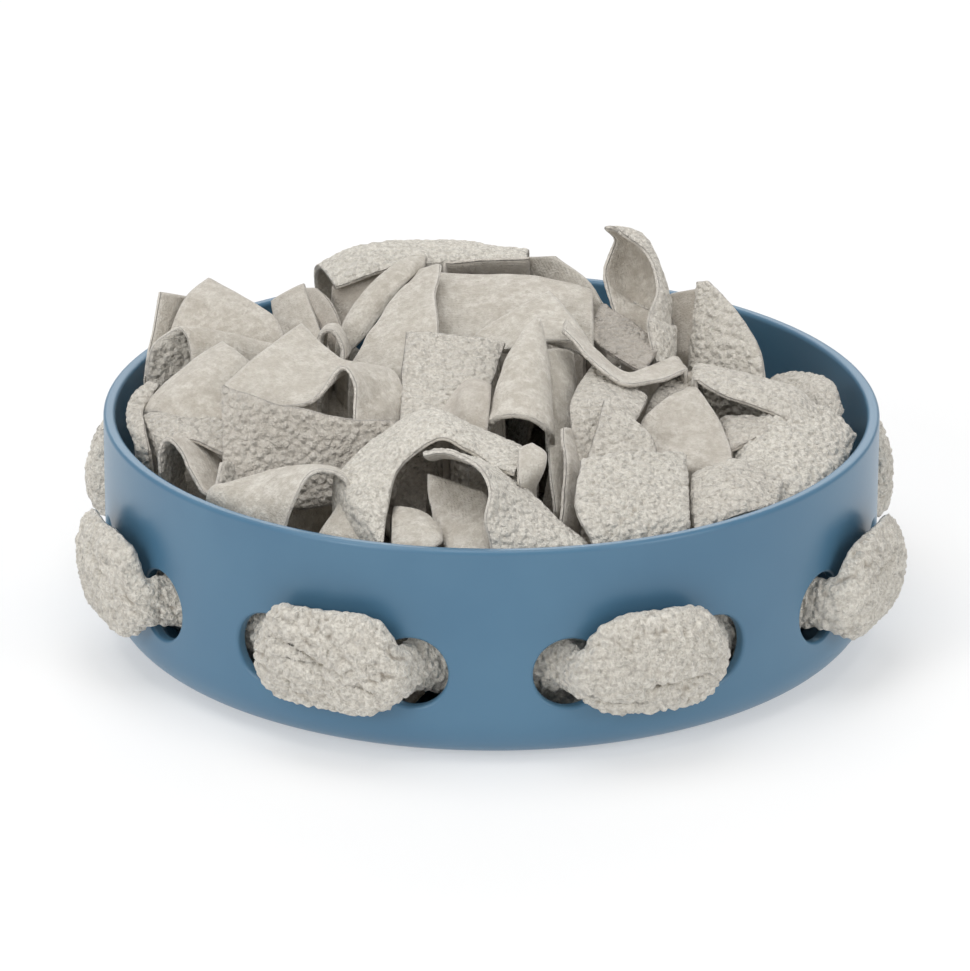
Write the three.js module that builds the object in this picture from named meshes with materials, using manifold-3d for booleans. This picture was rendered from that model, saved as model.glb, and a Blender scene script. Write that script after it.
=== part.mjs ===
// Snuffle bowl: a round plastic bowl with sixteen holes round its wall, eight fleece loops woven
// through the holes, and a nest of fleece strips that stand, fold and curl inside the bowl.
// Millimetres, +Z up, origin at the middle of the base, front towards -Y, +X to the right.

import * as THREE from "three";
import { mergeVertices } from "three/addons/utils/BufferGeometryUtils.js";
import Module from "manifold-3d";

// Bowl
const BOWL_RADIUS = 140;
const BOWL_HEIGHT = 80;
const BOWL_WALL = 4.4;
const BOWL_FLOOR = 3.5;
const BASE_CORNER = 16.5;
const INNER_CORNER = 12;
const RIM_ROUND = 2.1;
const BOWL_FACETS = 64;
const STEPS_PER_CORNER = 2;
const INNER_RADIUS = BOWL_RADIUS - BOWL_WALL;

// Holes round the wall, the first pair at either side of the front
const HOLE_COUNT = 16;
const HOLE_DIAMETER = 25.5;
const HOLE_HEIGHT = 33.7;
const HOLE_FACETS = 20;
const HOLE_PITCH = 360 / HOLE_COUNT;

// Fleece
const FLEECE = 3;
const LIFT_OVER_HOLES = 4.5;
const ROOT_HEIGHT = BOWL_FLOOR + 0.5;
const ROOT_HALF = 17;
const ROOT_CURL = 0.3;
const STRIP_STEPS = 2;
const LOOP_STEPS = 1;
const CLEAR_OF_CLOTH = 0.4;
const CLEAR_OF_WALL = 2;
const MOST_CLOTH_HEIGHT = 160;

const SMALL_CURL = 0.1;
const GENTLE_CURL = 25;
const STRONG_CURL = 100;
const FACES_ACROSS = { gentle: 2, curled: 4, rolled: 6 };
const MERGE_DISTANCE = 1e-4;
const CUTTER_LENGTH = 6 * BOWL_WALL;
const COLOURS = { plastic: 0x587b94, fleece: 0xcfc8bd };

const rad = THREE.MathUtils.degToRad;
const wasm = await Module();
wasm.setup();

// Closed geometry to solid: only positions are kept, shared points are merged, and triangles
// that shrink to a line at a pole are dropped.
function solidOf(geometry) {
  const bare = geometry.clone();
  bare.deleteAttribute("normal");
  bare.deleteAttribute("uv");
  const merged = mergeVertices(bare, MERGE_DISTANCE);
  const index = merged.index.array;
  const triVerts = [];
  for (let k = 0; k < index.length; k += 3) {
    const [a, b, c] = [index[k], index[k + 1], index[k + 2]];
    if (a !== b && b !== c && c !== a) triVerts.push(a, b, c);
  }
  return new wasm.Manifold(new wasm.Mesh({
    numProp: 3,
    vertProperties: new Float32Array(merged.attributes.position.array),
    triVerts: new Uint32Array(triVerts),
  }));
}

function geometryOf(solid) {
  const mesh = solid.getMesh();
  const geometry = new THREE.BufferGeometry();
  geometry.setAttribute("position", new THREE.BufferAttribute(mesh.vertProperties, 3));
  geometry.setIndex(new THREE.BufferAttribute(mesh.triVerts, 1));
  geometry.computeVertexNormals();
  return geometry;
}

// A lathed solid about the Z axis, from a profile of radius and height
function turned(path) {
  const geometry = new THREE.LatheGeometry(path.getPoints(STEPS_PER_CORNER), BOWL_FACETS);
  geometry.rotateX(Math.PI / 2);
  return solidOf(geometry);
}

function bowlProfile() {
  const path = new THREE.Path();
  const quarter = Math.PI / 2;
  path.moveTo(0, 0);
  path.lineTo(BOWL_RADIUS - BASE_CORNER, 0);
  path.absarc(BOWL_RADIUS - BASE_CORNER, BASE_CORNER, BASE_CORNER, -quarter, 0, false);
  path.lineTo(BOWL_RADIUS, BOWL_HEIGHT - RIM_ROUND);
  path.absarc(BOWL_RADIUS - RIM_ROUND, BOWL_HEIGHT - RIM_ROUND, RIM_ROUND, 0, quarter, false);
  path.absarc(INNER_RADIUS + RIM_ROUND, BOWL_HEIGHT - RIM_ROUND, RIM_ROUND, quarter, 2 * quarter, false);
  path.lineTo(INNER_RADIUS, BOWL_FLOOR + INNER_CORNER);
  path.absarc(INNER_RADIUS - INNER_CORNER, BOWL_FLOOR + INNER_CORNER, INNER_CORNER, 0, -quarter, true);
  path.lineTo(0, BOWL_FLOOR);
  return path;
}

// Point on a circle round the bowl's axis: the turn is in degrees from the front, +X first
function roundBowl(turn, radius, z) {
  return new THREE.Vector3(radius * Math.sin(rad(turn)), -radius * Math.cos(rad(turn)), z);
}

function makeBowl() {
  let bowl = turned(bowlProfile());
  for (let k = 0; k < HOLE_COUNT; k += 1) {
    const turn = HOLE_PITCH * (k + 0.5);
    const cutter = new THREE.CylinderGeometry(
      HOLE_DIAMETER / 2, HOLE_DIAMETER / 2, CUTTER_LENGTH, HOLE_FACETS);
    cutter.rotateZ(rad(turn));
    const middle = roundBowl(turn, BOWL_RADIUS - BOWL_WALL / 2, HOLE_HEIGHT);
    cutter.translate(middle.x, middle.y, middle.z);
    bowl = bowl.subtract(solidOf(cutter));
  }
  return bowl;
}

// Space inside the bowl, clear of its wall and open above: all the strips stay in it
function insideSpace() {
  const radius = INNER_RADIUS - CLEAR_OF_WALL;
  const corner = INNER_CORNER - CLEAR_OF_WALL;
  const floor = BOWL_FLOOR + CLEAR_OF_CLOTH;
  const path = new THREE.Path();
  path.moveTo(0, floor);
  path.lineTo(radius - corner, floor);
  path.absarc(radius - corner, floor + corner, corner, -Math.PI / 2, 0, false);
  path.lineTo(radius, MOST_CLOTH_HEIGHT);
  path.lineTo(0, MOST_CLOTH_HEIGHT);
  return turned(path);
}

// Half of the straight distance between a strip's edges, from half its flat width and its curl
function halfChord(half, curl) {
  const h = rad(curl) / 2;
  return Math.abs(curl) < SMALL_CURL ? half : (half * Math.sin(h)) / h;
}

// A fleece strip is an arc carried along a path. Each section has its left and right edge and
// the curl between them in degrees. Between the sections the edges follow Catmull-Rom curves.
// With a the unit line across, t the path's direction square to it, n = a x t, c half the
// chord and h half the curl, a point at s from -1 to 1 is
// middle + (c / sin h) (a sin sh + n (cos sh - cos h)), and the cloth's face looks along
// a sin sh + n cos sh.
function stripFrames(sections, stepsPerRow, rooted) {
  const curveOf = (points) => new THREE.CatmullRomCurve3(points, false, "catmullrom", 0.5);
  const shown = rooted ? sections.slice(1) : sections;
  const left = curveOf(shown.map((row) => row.left));
  const right = curveOf(shown.map((row) => row.right));
  const middle = curveOf(shown.map((row) => row.left.clone().lerp(row.right, 0.5)));
  const curl = curveOf(shown.map((row) => new THREE.Vector3(row.curl, 0, 0)));
  const steps = (shown.length - 1) * stepsPerRow;
  const frames = [];
  for (let k = 0; k <= steps; k += 1) {
    const u = k / steps;
    frames.push({
      left: left.getPoint(u),
      right: right.getPoint(u),
      curl: curl.getPoint(u).x,
      path: middle.getTangent(u),
    });
  }
  if (rooted) {
    const root = sections[0];
    const path = middle.getPoint(0).sub(root.left.clone().lerp(root.right, 0.5)).normalize();
    frames.unshift({ left: root.left, right: root.right, curl: root.curl, path });
  }
  return frames;
}

// Number of flat faces across a strip: the more it curls, the more it has
function facesAcross(frames) {
  const most = Math.max(...frames.map((frame) => Math.abs(frame.curl)));
  if (most > STRONG_CURL) return FACES_ACROSS.rolled;
  return most > GENTLE_CURL ? FACES_ACROSS.curled : FACES_ACROSS.gentle;
}

// Closed strip of the cloth's thickness; grow makes it larger all over, for clearance cuts
function stripGeometry(frames, grow) {
  const across = facesAcross(frames);
  const offset = FLEECE / 2 + grow;
  const columns = across + 1;
  const rows = frames.length;
  const upper = [];
  const lower = [];
  frames.forEach((frame, row) => {
    const line = frame.right.clone().sub(frame.left);
    const chord = line.length() / 2;
    const a = line.normalize();
    const t = frame.path.clone().addScaledVector(a, -frame.path.dot(a)).normalize();
    const n = a.clone().cross(t);
    const h = rad(Math.abs(frame.curl) < SMALL_CURL ? SMALL_CURL : frame.curl) / 2;
    const radius = chord / Math.sin(h);
    const spread = h + grow / radius;
    const end = row === 0 ? -grow : row === rows - 1 ? grow : 0;
    const middle = frame.left.clone().lerp(frame.right, 0.5).addScaledVector(t, end);
    for (let j = 0; j < columns; j += 1) {
      const angle = spread * ((2 * j) / across - 1);
      const face = a.clone().multiplyScalar(Math.sin(angle)).addScaledVector(n, Math.cos(angle));
      const point = middle.clone()
        .addScaledVector(a, radius * Math.sin(angle))
        .addScaledVector(n, radius * (Math.cos(angle) - Math.cos(h)));
      upper.push(...point.clone().addScaledVector(face, offset));
      lower.push(...point.addScaledVector(face, -offset));
    }
  });
  const below = rows * columns;
  const at = (row, column) => row * columns + column;
  const index = [];
  const quad = (a, b, c, d) => index.push(a, b, c, a, c, d);
  for (let i = 0; i < rows - 1; i += 1) {
    for (let j = 0; j < across; j += 1) {
      quad(at(i, j), at(i, j + 1), at(i + 1, j + 1), at(i + 1, j));
      quad(below + at(i, j), below + at(i + 1, j), below + at(i + 1, j + 1), below + at(i, j + 1));
    }
    quad(at(i, 0), at(i + 1, 0), below + at(i + 1, 0), below + at(i, 0));
    quad(at(i, across), below + at(i, across), below + at(i + 1, across), at(i + 1, across));
  }
  for (let j = 0; j < across; j += 1) {
    const last = rows - 1;
    quad(at(0, j), below + at(0, j), below + at(0, j + 1), at(0, j + 1));
    quad(at(last, j), at(last, j + 1), below + at(last, j + 1), below + at(last, j));
  }
  const geometry = new THREE.BufferGeometry();
  geometry.setAttribute("position", new THREE.Float32BufferAttribute([...upper, ...lower], 3));
  geometry.setIndex(index);
  return geometry;
}

// Eight loops, each over one post and through the hole at either side of it. A row gives the
// turn from the post's middle in degrees, the reach out from the wall's outer face, half the
// flat width and the curl; the rows run from the post's middle to the end behind the next
// post, and the other side is the same, mirrored. The lift holds outside the wall only.
const LOOP_COUNT = 8;
const LOOP_ROWS = [
  // turn, reach, half, curl, lift
  [0, 9, 19.5, 55, 1],
  [4.5, 8.6, 19.5, 58, 1],
  [7.6, 6.6, 17.5, 75, 0.75],
  [9.4, 4, 11, 105, 0.2],
  [9.8, -3, 10.5, 120, 0],
  [11.2, -9.5, 11, 120, 0],
  [15.5, -14.5, 14, 90, 0],
  [21.9, -15, 16, 70, 0],
];

function loopSections(post) {
  const section = ([turn, reach, half, curl, lift], side) => {
    const z = HOLE_HEIGHT + lift * LIFT_OVER_HOLES;
    const chord = halfChord(half, curl);
    const at = (height) => roundBowl(post + side * turn, BOWL_RADIUS + reach, height);
    return { left: at(z + chord), right: at(z - chord), curl };
  };
  const before = LOOP_ROWS.slice(1).reverse().map((row) => section(row, -1));
  return [...before, ...LOOP_ROWS.map((row) => section(row, 1))];
}

// The strips, from the front to the back: where two would meet, the later one is trimmed.
// A row gives the middle of the line across the strip, the line's heading in plan and its
// slope in degrees, half the flat width and the curl. Each strip has its root on the bowl's
// floor, straight below its first row or at the root given; null is a strip whose own first
// row is its root.
const STRIP_ROWS = {
  trough_front: {
    rows: [
      [-7, -123, 72, -16, 5, 7, 20],
      [-10, -110, 76, -22, 3, 10, 20],
      [-11, -97, 79, -22, -3, 11, 10],
      [-12, -88, 84, -23, -11, 11, 0],
    ],
    root: [-6, -121],
  },
  arch_front: {
    rows: [
      [16, -122, 62, 14, 0, 17, 0],
      [17, -120, 73, 18, -5, 18, 0],
      [11, -112, 80, 33, -14, 16, 0],
      [7, -103, 86, 55, -20, 14, 0],
      [1, -94, 91, 67, -24, 15, 0],
      [-8, -89, 94, 71, -24, 15, 0],
      [-16, -87, 95, 80, -23, 14, 0],
      [-22, -87, 94, 82, -23, 12, 0],
    ],
  },
  square_front: {
    rows: [
      [52, -111, 60, 23, 0, 18, 10],
      [52, -111, 74, 21, 1, 18, 10],
      [49, -99, 81, 22, -4, 21, 15],
      [50, -72, 88, 27, -7, 21, 15],
    ],
  },
  low_right: {
    rows: [
      [72, -87, 78, -90, -13, 18, 20],
      [79, -84, 79, -90, -11, 19, 40],
      [88, -80, 80, -90, -9, 18, 40],
      [97, -81, 78, -98, -1, 5, 20],
    ],
  },
  big_right: {
    rows: [
      [92, -61, 76, -77, 4, 24, 30],
      [106, -45, 79, -67, -6, 22, 30],
      [117, -28, 79, -64, -16, 17, 30],
      [124, -12, 78, -26, -27, 8, 20],
    ],
    root: [90, -58],
  },
  saddle: {
    rows: [
      [-46, -102, 80, -63, -18, 20, 15],
      [-41, -88, 85, -73, -16, 18, 30],
      [-33, -72, 91, -85, -4, 17, 45],
      [-21, -64, 96, -82, 5, 17, 50],
      [-10, -67, 94, -84, 1, 15, 40],
      [2, -73, 90, -93, 0, 15, 30],
      [11, -78, 88, -103, 3, 14, 20],
    ],
  },
  arch_front_left: {
    rows: [
      [-87, -94, 65, 136, -3, 17, 0],
      [-85, -93, 77, 140, 5, 18, 0],
      [-79, -90, 83, 135, -8, 17, 0],
      [-70, -86, 87, 119, -15, 14, 0],
      [-61, -84, 88, 105, -17, 12, 0],
      [-52, -82, 85, 92, -17, 12, 0],
      [-47, -82, 77, 83, -19, 11, 0],
    ],
    root: [-84, -88],
  },
  flap_front_low: {
    rows: [
      [-33, -109, 76, -89, -14, 13, 20],
      [-26, -111, 76, -89, -10, 13, 30],
      [-21, -114, 76, -88, -12, 10, 20],
      [-17, -116, 75, -92, -18, 3, 10],
    ],
    root: [-34, -106],
  },
  saddle_under: {
    rows: [
      [-51, -107, 71, -18, -4, 9, 20],
      [-50, -98, 76, -22, -6, 5, 20],
      [-51, -91, 79, -40, 0, 2, 10],
    ],
  },
  curl_small: {
    rows: [
      [13, -88, 82, 48, 5, 4, 0],
      [14, -89, 88, 48, 8, 7, 10],
      [14, -83, 92, 46, -2, 7, 20],
      [12, -77, 94, 50, 0, 4, 10],
    ],
  },
  flap_front_left: {
    rows: [
      [-18, -69, 77, 95, 63, 11, 0],
      [-30, -60, 80, 92, 64, 14, -10],
      [-50, -59, 81, 91, 65, 15, -20],
      [-71, -58, 82, 91, 63, 18, -25],
      [-86, -55, 85, 92, 55, 19, 0],
      [-95, -49, 90, 91, 45, 16, 10],
    ],
    root: [-24, -56],
  },
  fold_rim_left: {
    rows: [
      [-114, -46, 71, 64, -17, 9, 0],
      [-112, -43, 79, 58, -15, 11, 0],
      [-108, -44, 83, 51, -19, 11, 0],
      [-103, -49, 80, 43, -21, 10, 0],
      [-100, -58, 76, 42, -20, 8, 0],
      [-96, -68, 72, 46, -23, 8, 0],
      [-92, -67, 75, 50, -14, 8, 0],
      [-92, -60, 81, 62, -20, 6, 0],
    ],
    root: [-106, -40],
  },
  tip_flap: {
    rows: [
      [73, -62, 79, 0, 0, 12, 10],
      [68, -38, 85, 0, -3, 15, 20],
      [69, -25, 91, 7, -3, 8, 20],
      [72, -16, 93, 17, -6, 2, 10],
    ],
  },
  triangle: {
    rows: [
      [46, -66, 80, 2, 1, 14, 20],
      [46, -54, 90, 8, -5, 9, 30],
      [41, -42, 98, 0, 0, 1, 10],
    ],
  },
  bent: {
    rows: [
      [39, -66, 78, 0, -6, 10, 0],
      [39, -52, 86, -16, -11, 11, 0],
      [39, -39, 91, -32, -11, 13, 20],
      [46, -12, 93, -39, -14, 13, 10],
    ],
    root: [36, -58],
  },
  pleat_b: {
    rows: [
      [27, -92, 69, 67, -34, 8, 20],
      [28, -68, 82, 73, -21, 9, 40],
      [27, -50, 90, 74, -24, 7, 30],
    ],
  },
  cone: {
    rows: [
      [9, -46, 83, 0, -19, 22, 205],
      [11, -24, 96, 13, -13, 15, 190],
      [14, -6, 105, 17, -16, 8, 160],
      [16, 4, 111, 28, -10, 1, 60],
    ],
    root: [8, -50],
  },
  pleat_a: {
    rows: [
      [24, -75, 69, 72, -13, 5, 30],
      [24, -50, 75, 72, -20, 12, 60],
      [24, -24, 83, 71, -16, 14, 80],
      [24, -6, 90, 65, -18, 13, 80],
      [24, 6, 98, 52, -20, 9, 60],
    ],
    root: [23, -44],
  },
  peak_flap: {
    rows: [
      [-40, -46, 87, 51, -5, 13, 0],
      [-40, -35, 94, 54, -4, 14, 0],
      [-42, -26, 100, 61, -9, 14, 0],
      [-49, -21, 102, 67, -15, 12, 10],
      [-59, -25, 98, 74, 5, 18, 20],
      [-71, -20, 99, 60, 12, 21, 20],
      [-82, -10, 103, 54, 12, 23, 10],
    ],
    root: [-38, -40],
  },
  fold_left_low: {
    rows: [
      [-120, -31, 82, -71, -11, 10, 30],
      [-108, -35, 84, -80, -6, 10, 20],
      [-97, -42, 84, -84, -15, 10, 10],
      [-90, -47, 83, -84, -15, 9, 0],
    ],
    root: [-112, -28],
  },
  left_outer: {
    rows: [
      [-124, -38, 78, -51, 1, 4, 20],
      [-127, -28, 83, -52, 8, 5, 30],
      [-127, -15, 86, -55, -15, 4, 20],
      [-122, -1, 87, -35, 4, 3, 10],
    ],
    root: [-114, -26],
  },
  shade_strip: {
    rows: [
      [-29, -80, 68, 0, 0, 6, 0],
      [-27, -72, 77, 0, 5, 5, 0],
      [-23, -61, 84, 0, 16, 5, 0],
    ],
  },
  grey_fold: {
    rows: [
      [-17, -48, 88, -67, -6, 7, 0],
      [-11, -40, 91, -86, -14, 16, 40],
      [-7, -36, 93, -90, -12, 19, 60],
    ],
    root: [-16, -44],
  },
  square: {
    rows: [
      [-20, -44, 88, -2, -1, 12, 10],
      [-16, -16, 95, -2, -1, 16, 15],
      [-13, 7, 103, -3, -5, 18, 10],
    ],
    root: [-20, -36],
  },
  mouth_piece: {
    rows: [
      [84, -34, 82, -85, -7, 12, 10],
      [92, -32, 83, -85, -2, 10, 20],
      [99, -32, 84, -94, 5, 7, 10],
    ],
  },
  behind_tip: {
    rows: [
      [63, -31, 78, 14, 4, 12, 20],
      [66, -15, 86, 12, 0, 10, 20],
      [69, 1, 91, 11, 5, 5, 10],
    ],
    root: [58, -24],
  },
  wavy: {
    rows: [
      [68, 2, 95, -80, 5, 9, 0],
      [57, -8, 95, -89, 1, 8, 0],
      [47, -15, 96, -97, 6, 7, 0],
      [36, -7, 102, -94, 4, 7, 0],
      [26, 7, 108, -94, 7, 7, 0],
    ],
    root: [68, 10],
  },
  long_right: {
    rows: [
      [74, 0, 93, -93, 11, 12, 20],
      [84, -6, 91, -97, 4, 14, 30],
      [95, -11, 89, -97, 4, 15, 30],
      [106, -16, 87, -102, 0, 14, 30],
      [114, -23, 84, -110, -4, 12, 20],
    ],
    root: [76, 2],
  },
  flap_left_mid: {
    rows: [
      [-63, -49, 66, 41, 0, 20, 20],
      [-99, -17, 90, 42, 16, 19, 50],
      [-112, -2, 91, 42, 23, 22, 20],
    ],
    root: [-68, -44],
  },
  small_arch: {
    rows: [
      [-62, 32, 91, 86, -4, 10, 0],
      [-61, 33, 96, 83, -11, 9, 0],
      [-57, 32, 97, 84, -14, 8, 0],
      [-54, 29, 93, 86, -14, 9, 0],
      [-53, 22, 90, 81, -10, 8, 0],
    ],
  },
  roll_left: {
    rows: [
      [-115, 20, 80, 11, -19, 11, 0],
      [-110, 22, 90, 15, -17, 14, 0],
      [-103, 24, 95, 13, -17, 16, 0],
      [-96, 24, 97, 13, -16, 19, 0],
      [-93, 20, 96, 8, -13, 18, 0],
      [-92, 14, 91, 0, -8, 17, 0],
      [-93, 9, 86, -4, -7, 16, 0],
    ],
    root: [-105, 22],
  },
  flap_left_peak: {
    rows: [
      [-102, 30, 79, -25, -9, 21, 20],
      [-95, 45, 94, -25, -16, 21, 20],
      [-92, 58, 99, -35, -17, 16, 10],
    ],
    root: [-96, 34],
  },
  leaf_far_left: {
    rows: [
      [-121, 41, 72, 48, -23, 10, 20],
      [-119, 46, 83, 48, -14, 10, 20],
      [-116, 57, 101, 48, -22, 9, 10],
    ],
    root: [-110, 46],
  },
  back_left_strip: {
    rows: [
      [-68, 44, 81, 0, 18, 9, 0],
      [-72, 62, 86, 0, 20, 8, 10],
      [-76, 84, 92, 0, 30, 7, 10],
    ],
  },
  back_left_shade: {
    rows: [
      [-58, 57, 85, -32, 2, 5, 0],
      [-63, 69, 93, -43, 18, 5, 0],
      [-67, 78, 96, -48, 16, 3, 0],
    ],
  },
  long_tube: {
    rows: [
      [-54, 44, 85, -73, 8, 7, 90],
      [-49, 52, 91, -70, -2, 10, 110],
      [-41, 62, 99, -74, -7, 10, 110],
      [-32, 72, 105, -79, -9, 7, 100],
      [-25, 79, 106, -100, -12, 4, 90],
    ],
  },
  wide_flap: {
    rows: [
      [-40, 6, 90, -35, 5, 14, 20],
      [-32, 27, 97, -32, 10, 14, 20],
      [-28, 49, 104, -35, 13, 9, 20],
      [-23, 68, 108, -45, 27, 6, 20],
    ],
    root: [-42, 8],
  },
  diagonal: {
    rows: [
      [-2, 17, 97, -57, -2, 8, 0],
      [13, 21, 102, -65, -3, 14, 20],
      [28, 29, 103, -64, -15, 17, 20],
    ],
    root: [4, 22],
  },
  centre_face: {
    rows: [
      [-25, 55, 97, -89, -17, 21, 10],
      [-8, 52, 98, -90, -15, 21, 20],
      [10, 49, 100, -90, -12, 20, 20],
      [28, 44, 100, -86, -13, 19, 30],
      [37, 38, 99, -90, -13, 20, 40],
    ],
    root: [-24, 52],
  },
  mauve_end: {
    rows: [
      [42, 33, 97, -112, -14, 10, 10],
      [48, 21, 97, -115, -11, 11, 10],
      [58, 7, 94, -111, -13, 9, 10],
    ],
  },
  fin: {
    rows: [
      [54, 20, 91, 114, 10, 21, 150],
      [50, 35, 103, 113, -2, 26, 180],
      [51, 48, 111, 127, -3, 25, 188],
      [51, 60, 119, 132, 0, 13, 185],
      [44, 63, 125, 142, 1, 3, 60],
    ],
  },
  right_peak: {
    rows: [
      [86, 18, 83, -36, 4, 17, 10],
      [85, 27, 94, -38, 8, 15, 20],
      [82, 38, 102, -39, 11, 10, 20],
      [78, 52, 108, -46, 18, 3, 10],
    ],
  },
  right_peak_back: {
    rows: [
      [66, 35, 88, -37, 4, 5, 20],
      [67, 48, 96, -44, 4, 5, 20],
      [69, 58, 103, -34, 28, 4, 20],
    ],
  },
  round_back_right: {
    rows: [
      [104, 27, 77, -92, 8, 15, 30],
      [112, 22, 79, -92, 4, 17, 40],
      [120, 10, 80, -95, 3, 15, 40],
      [124, -7, 76, -103, 2, 9, 30],
    ],
  },
  back_shade_left: {
    rows: [
      [-57, 72, 90, -71, -51, 9, -10],
      [-45, 77, 96, -84, -38, 6, 0],
      [-32, 81, 101, -89, -33, 3, 0],
    ],
  },
  back_shade_right: {
    rows: [
      [-17, 82, 100, 84, -61, 7, 0],
      [-3, 84, 100, 90, -58, 8, 0],
      [14, 82, 101, 87, -59, 9, 0],
    ],
  },
  back_roll: {
    rows: [
      [-61, 90, 88, -80, 34, 28, 130],
      [-45, 96, 91, -75, 36, 30, 130],
      [-21, 100, 94, -78, 36, 27, 115],
      [-4, 100, 94, -87, 36, 26, 115],
      [13, 97, 95, -91, 37, 24, 90],
    ],
    root: [-58, 88],
  },
  back_peak: {
    rows: [
      [28, 91, 86, -28, 6, 15, 10],
      [25, 98, 93, -28, 6, 12, 20],
      [20, 104, 100, -31, 13, 5, 20],
    ],
  },
  low_back_right: {
    rows: [
      [54, 86, 14, -121, 0, 19, 0],
      [63, 77, 44, -128, 3, 20, 0],
      [74, 63, 55, -136, 0, 20, 0],
      [86, 49, 47, -147, 3, 19, 0],
      [95, 36, 14, -157, 0, 17, 0],
    ],
    root: null,
  },
  low_back_left: {
    rows: [
      [-101, 37, 14, -22, 0, 18, 0],
      [-88, 57, 47, -29, 3, 18, 0],
      [-71, 75, 58, -45, 0, 18, 0],
      [-51, 88, 48, -66, 0, 17, 0],
      [-32, 95, 14, -77, 0, 17, 0],
    ],
    root: null,
  },
};

function stripSection([x, y, z, heading, slope, half, curl]) {
  const level = Math.cos(rad(slope));
  const reach = new THREE.Vector3(
    level * Math.cos(rad(heading)), level * Math.sin(rad(heading)), Math.sin(rad(slope)));
  reach.multiplyScalar(halfChord(half, curl));
  const middle = new THREE.Vector3(x, y, z);
  return { left: middle.clone().sub(reach), right: middle.add(reach), curl };
}

function stripSections({ rows, root }) {
  const sections = rows.map(stripSection);
  if (root === null) return sections;
  const [x, y, , heading, , half, curl] = rows[0];
  const [rootX, rootY] = root ?? [x, y];
  const rootRow = [rootX, rootY, ROOT_HEIGHT, heading, 0, Math.min(half, ROOT_HALF), curl * ROOT_CURL];
  return [stripSection(rootRow), ...sections];
}

// The largest piece that is left of a solid once the taken space is cut away
function largestOf(solid) {
  const pieces = solid.decompose();
  pieces.sort((a, b) => b.volume() - a.volume());
  return pieces[0];
}

function boxesMeet(a, b) {
  const [p, q] = [a.boundingBox(), b.boundingBox()];
  return [0, 1, 2].every((k) => p.min[k] <= q.max[k] && q.min[k] <= p.max[k]);
}

const object = new THREE.Group();
object.name = "snuffle_bowl";

function addMesh(name, solid, material) {
  const mesh = new THREE.Mesh(geometryOf(solid), material);
  mesh.name = name;
  object.add(mesh);
}

const plastic = () => new THREE.MeshStandardMaterial({
  color: COLOURS.plastic, roughness: 0.38, metalness: 0 });
const fleece = () => new THREE.MeshStandardMaterial({
  color: COLOURS.fleece, roughness: 0.95, metalness: 0 });

addMesh("bowl", makeBowl(), plastic());

const taken = [];
for (let k = 0; k < LOOP_COUNT; k += 1) {
  const frames = stripFrames(loopSections(HOLE_PITCH * (2 * k + 1)), LOOP_STEPS, false);
  const loop = solidOf(stripGeometry(frames, 0));
  addMesh(`loop_${k + 1}`, loop, fleece());
  taken.push(solidOf(stripGeometry(frames, CLEAR_OF_CLOTH)).add(loop));
}

const inside = insideSpace();
for (const [name, strip] of Object.entries(STRIP_ROWS)) {
  const frames = stripFrames(stripSections(strip), STRIP_STEPS, strip.root !== null);
  const whole = solidOf(stripGeometry(frames, 0));
  let solid = whole.intersect(inside);
  for (const other of taken) {
    if (boxesMeet(solid, other)) solid = solid.subtract(other);
  }
  addMesh(name, largestOf(solid), fleece());
  taken.push(solidOf(stripGeometry(frames, CLEAR_OF_CLOTH)).add(whole));
}

export default object;
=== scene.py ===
"""Snuffle bowl: a satin plastic bowl, eight fleece loops through the holes in its wall, and a
nest of double-faced fleece strips inside it. Metres, +Z up, front towards -Y."""

import math
from collections import namedtuple

import bmesh
import bpy
import numpy as np
from mathutils import Matrix


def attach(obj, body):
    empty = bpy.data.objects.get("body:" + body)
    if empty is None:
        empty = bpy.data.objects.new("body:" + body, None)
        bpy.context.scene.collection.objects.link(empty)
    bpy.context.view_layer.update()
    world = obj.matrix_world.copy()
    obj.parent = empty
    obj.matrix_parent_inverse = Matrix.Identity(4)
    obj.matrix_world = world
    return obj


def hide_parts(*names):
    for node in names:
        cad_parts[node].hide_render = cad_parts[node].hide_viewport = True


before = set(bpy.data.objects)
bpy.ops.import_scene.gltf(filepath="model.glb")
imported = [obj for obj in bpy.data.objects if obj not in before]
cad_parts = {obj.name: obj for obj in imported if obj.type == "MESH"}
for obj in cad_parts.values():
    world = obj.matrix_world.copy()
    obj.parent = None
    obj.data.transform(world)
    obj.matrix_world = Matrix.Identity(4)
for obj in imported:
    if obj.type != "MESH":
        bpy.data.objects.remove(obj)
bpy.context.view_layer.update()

MM = 0.001

# Camera, as the photograph was taken
PICTURE_SIDE = 971
SENSOR = 36.0
FOCAL_PIXELS = 6585.9
CAMERA_TILT = 21.757
CAMERA_ROLL = 0.184
CAMERA_PLACE = (0.0, -2.21966, 0.93446)
PICTURE_SHIFT = -6.27

# Bowl, in millimetres as in the solids
BOWL_RADIUS = 140.0
BOWL_HEIGHT = 80.0
BOWL_WALL = 4.4
BOWL_FLOOR = 3.5
BASE_CORNER = 16.5
INNER_CORNER = 12.0
RIM_ROUND = 1.5
INNER_RADIUS = BOWL_RADIUS - BOWL_WALL
HOLE_COUNT = 16
HOLE_RADIUS = 12.75
HOLE_HEIGHT = 33.7
HOLE_ROUND = 1.2
HOLE_PITCH = 360 / HOLE_COUNT
BAND_HALF = 16.7

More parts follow.
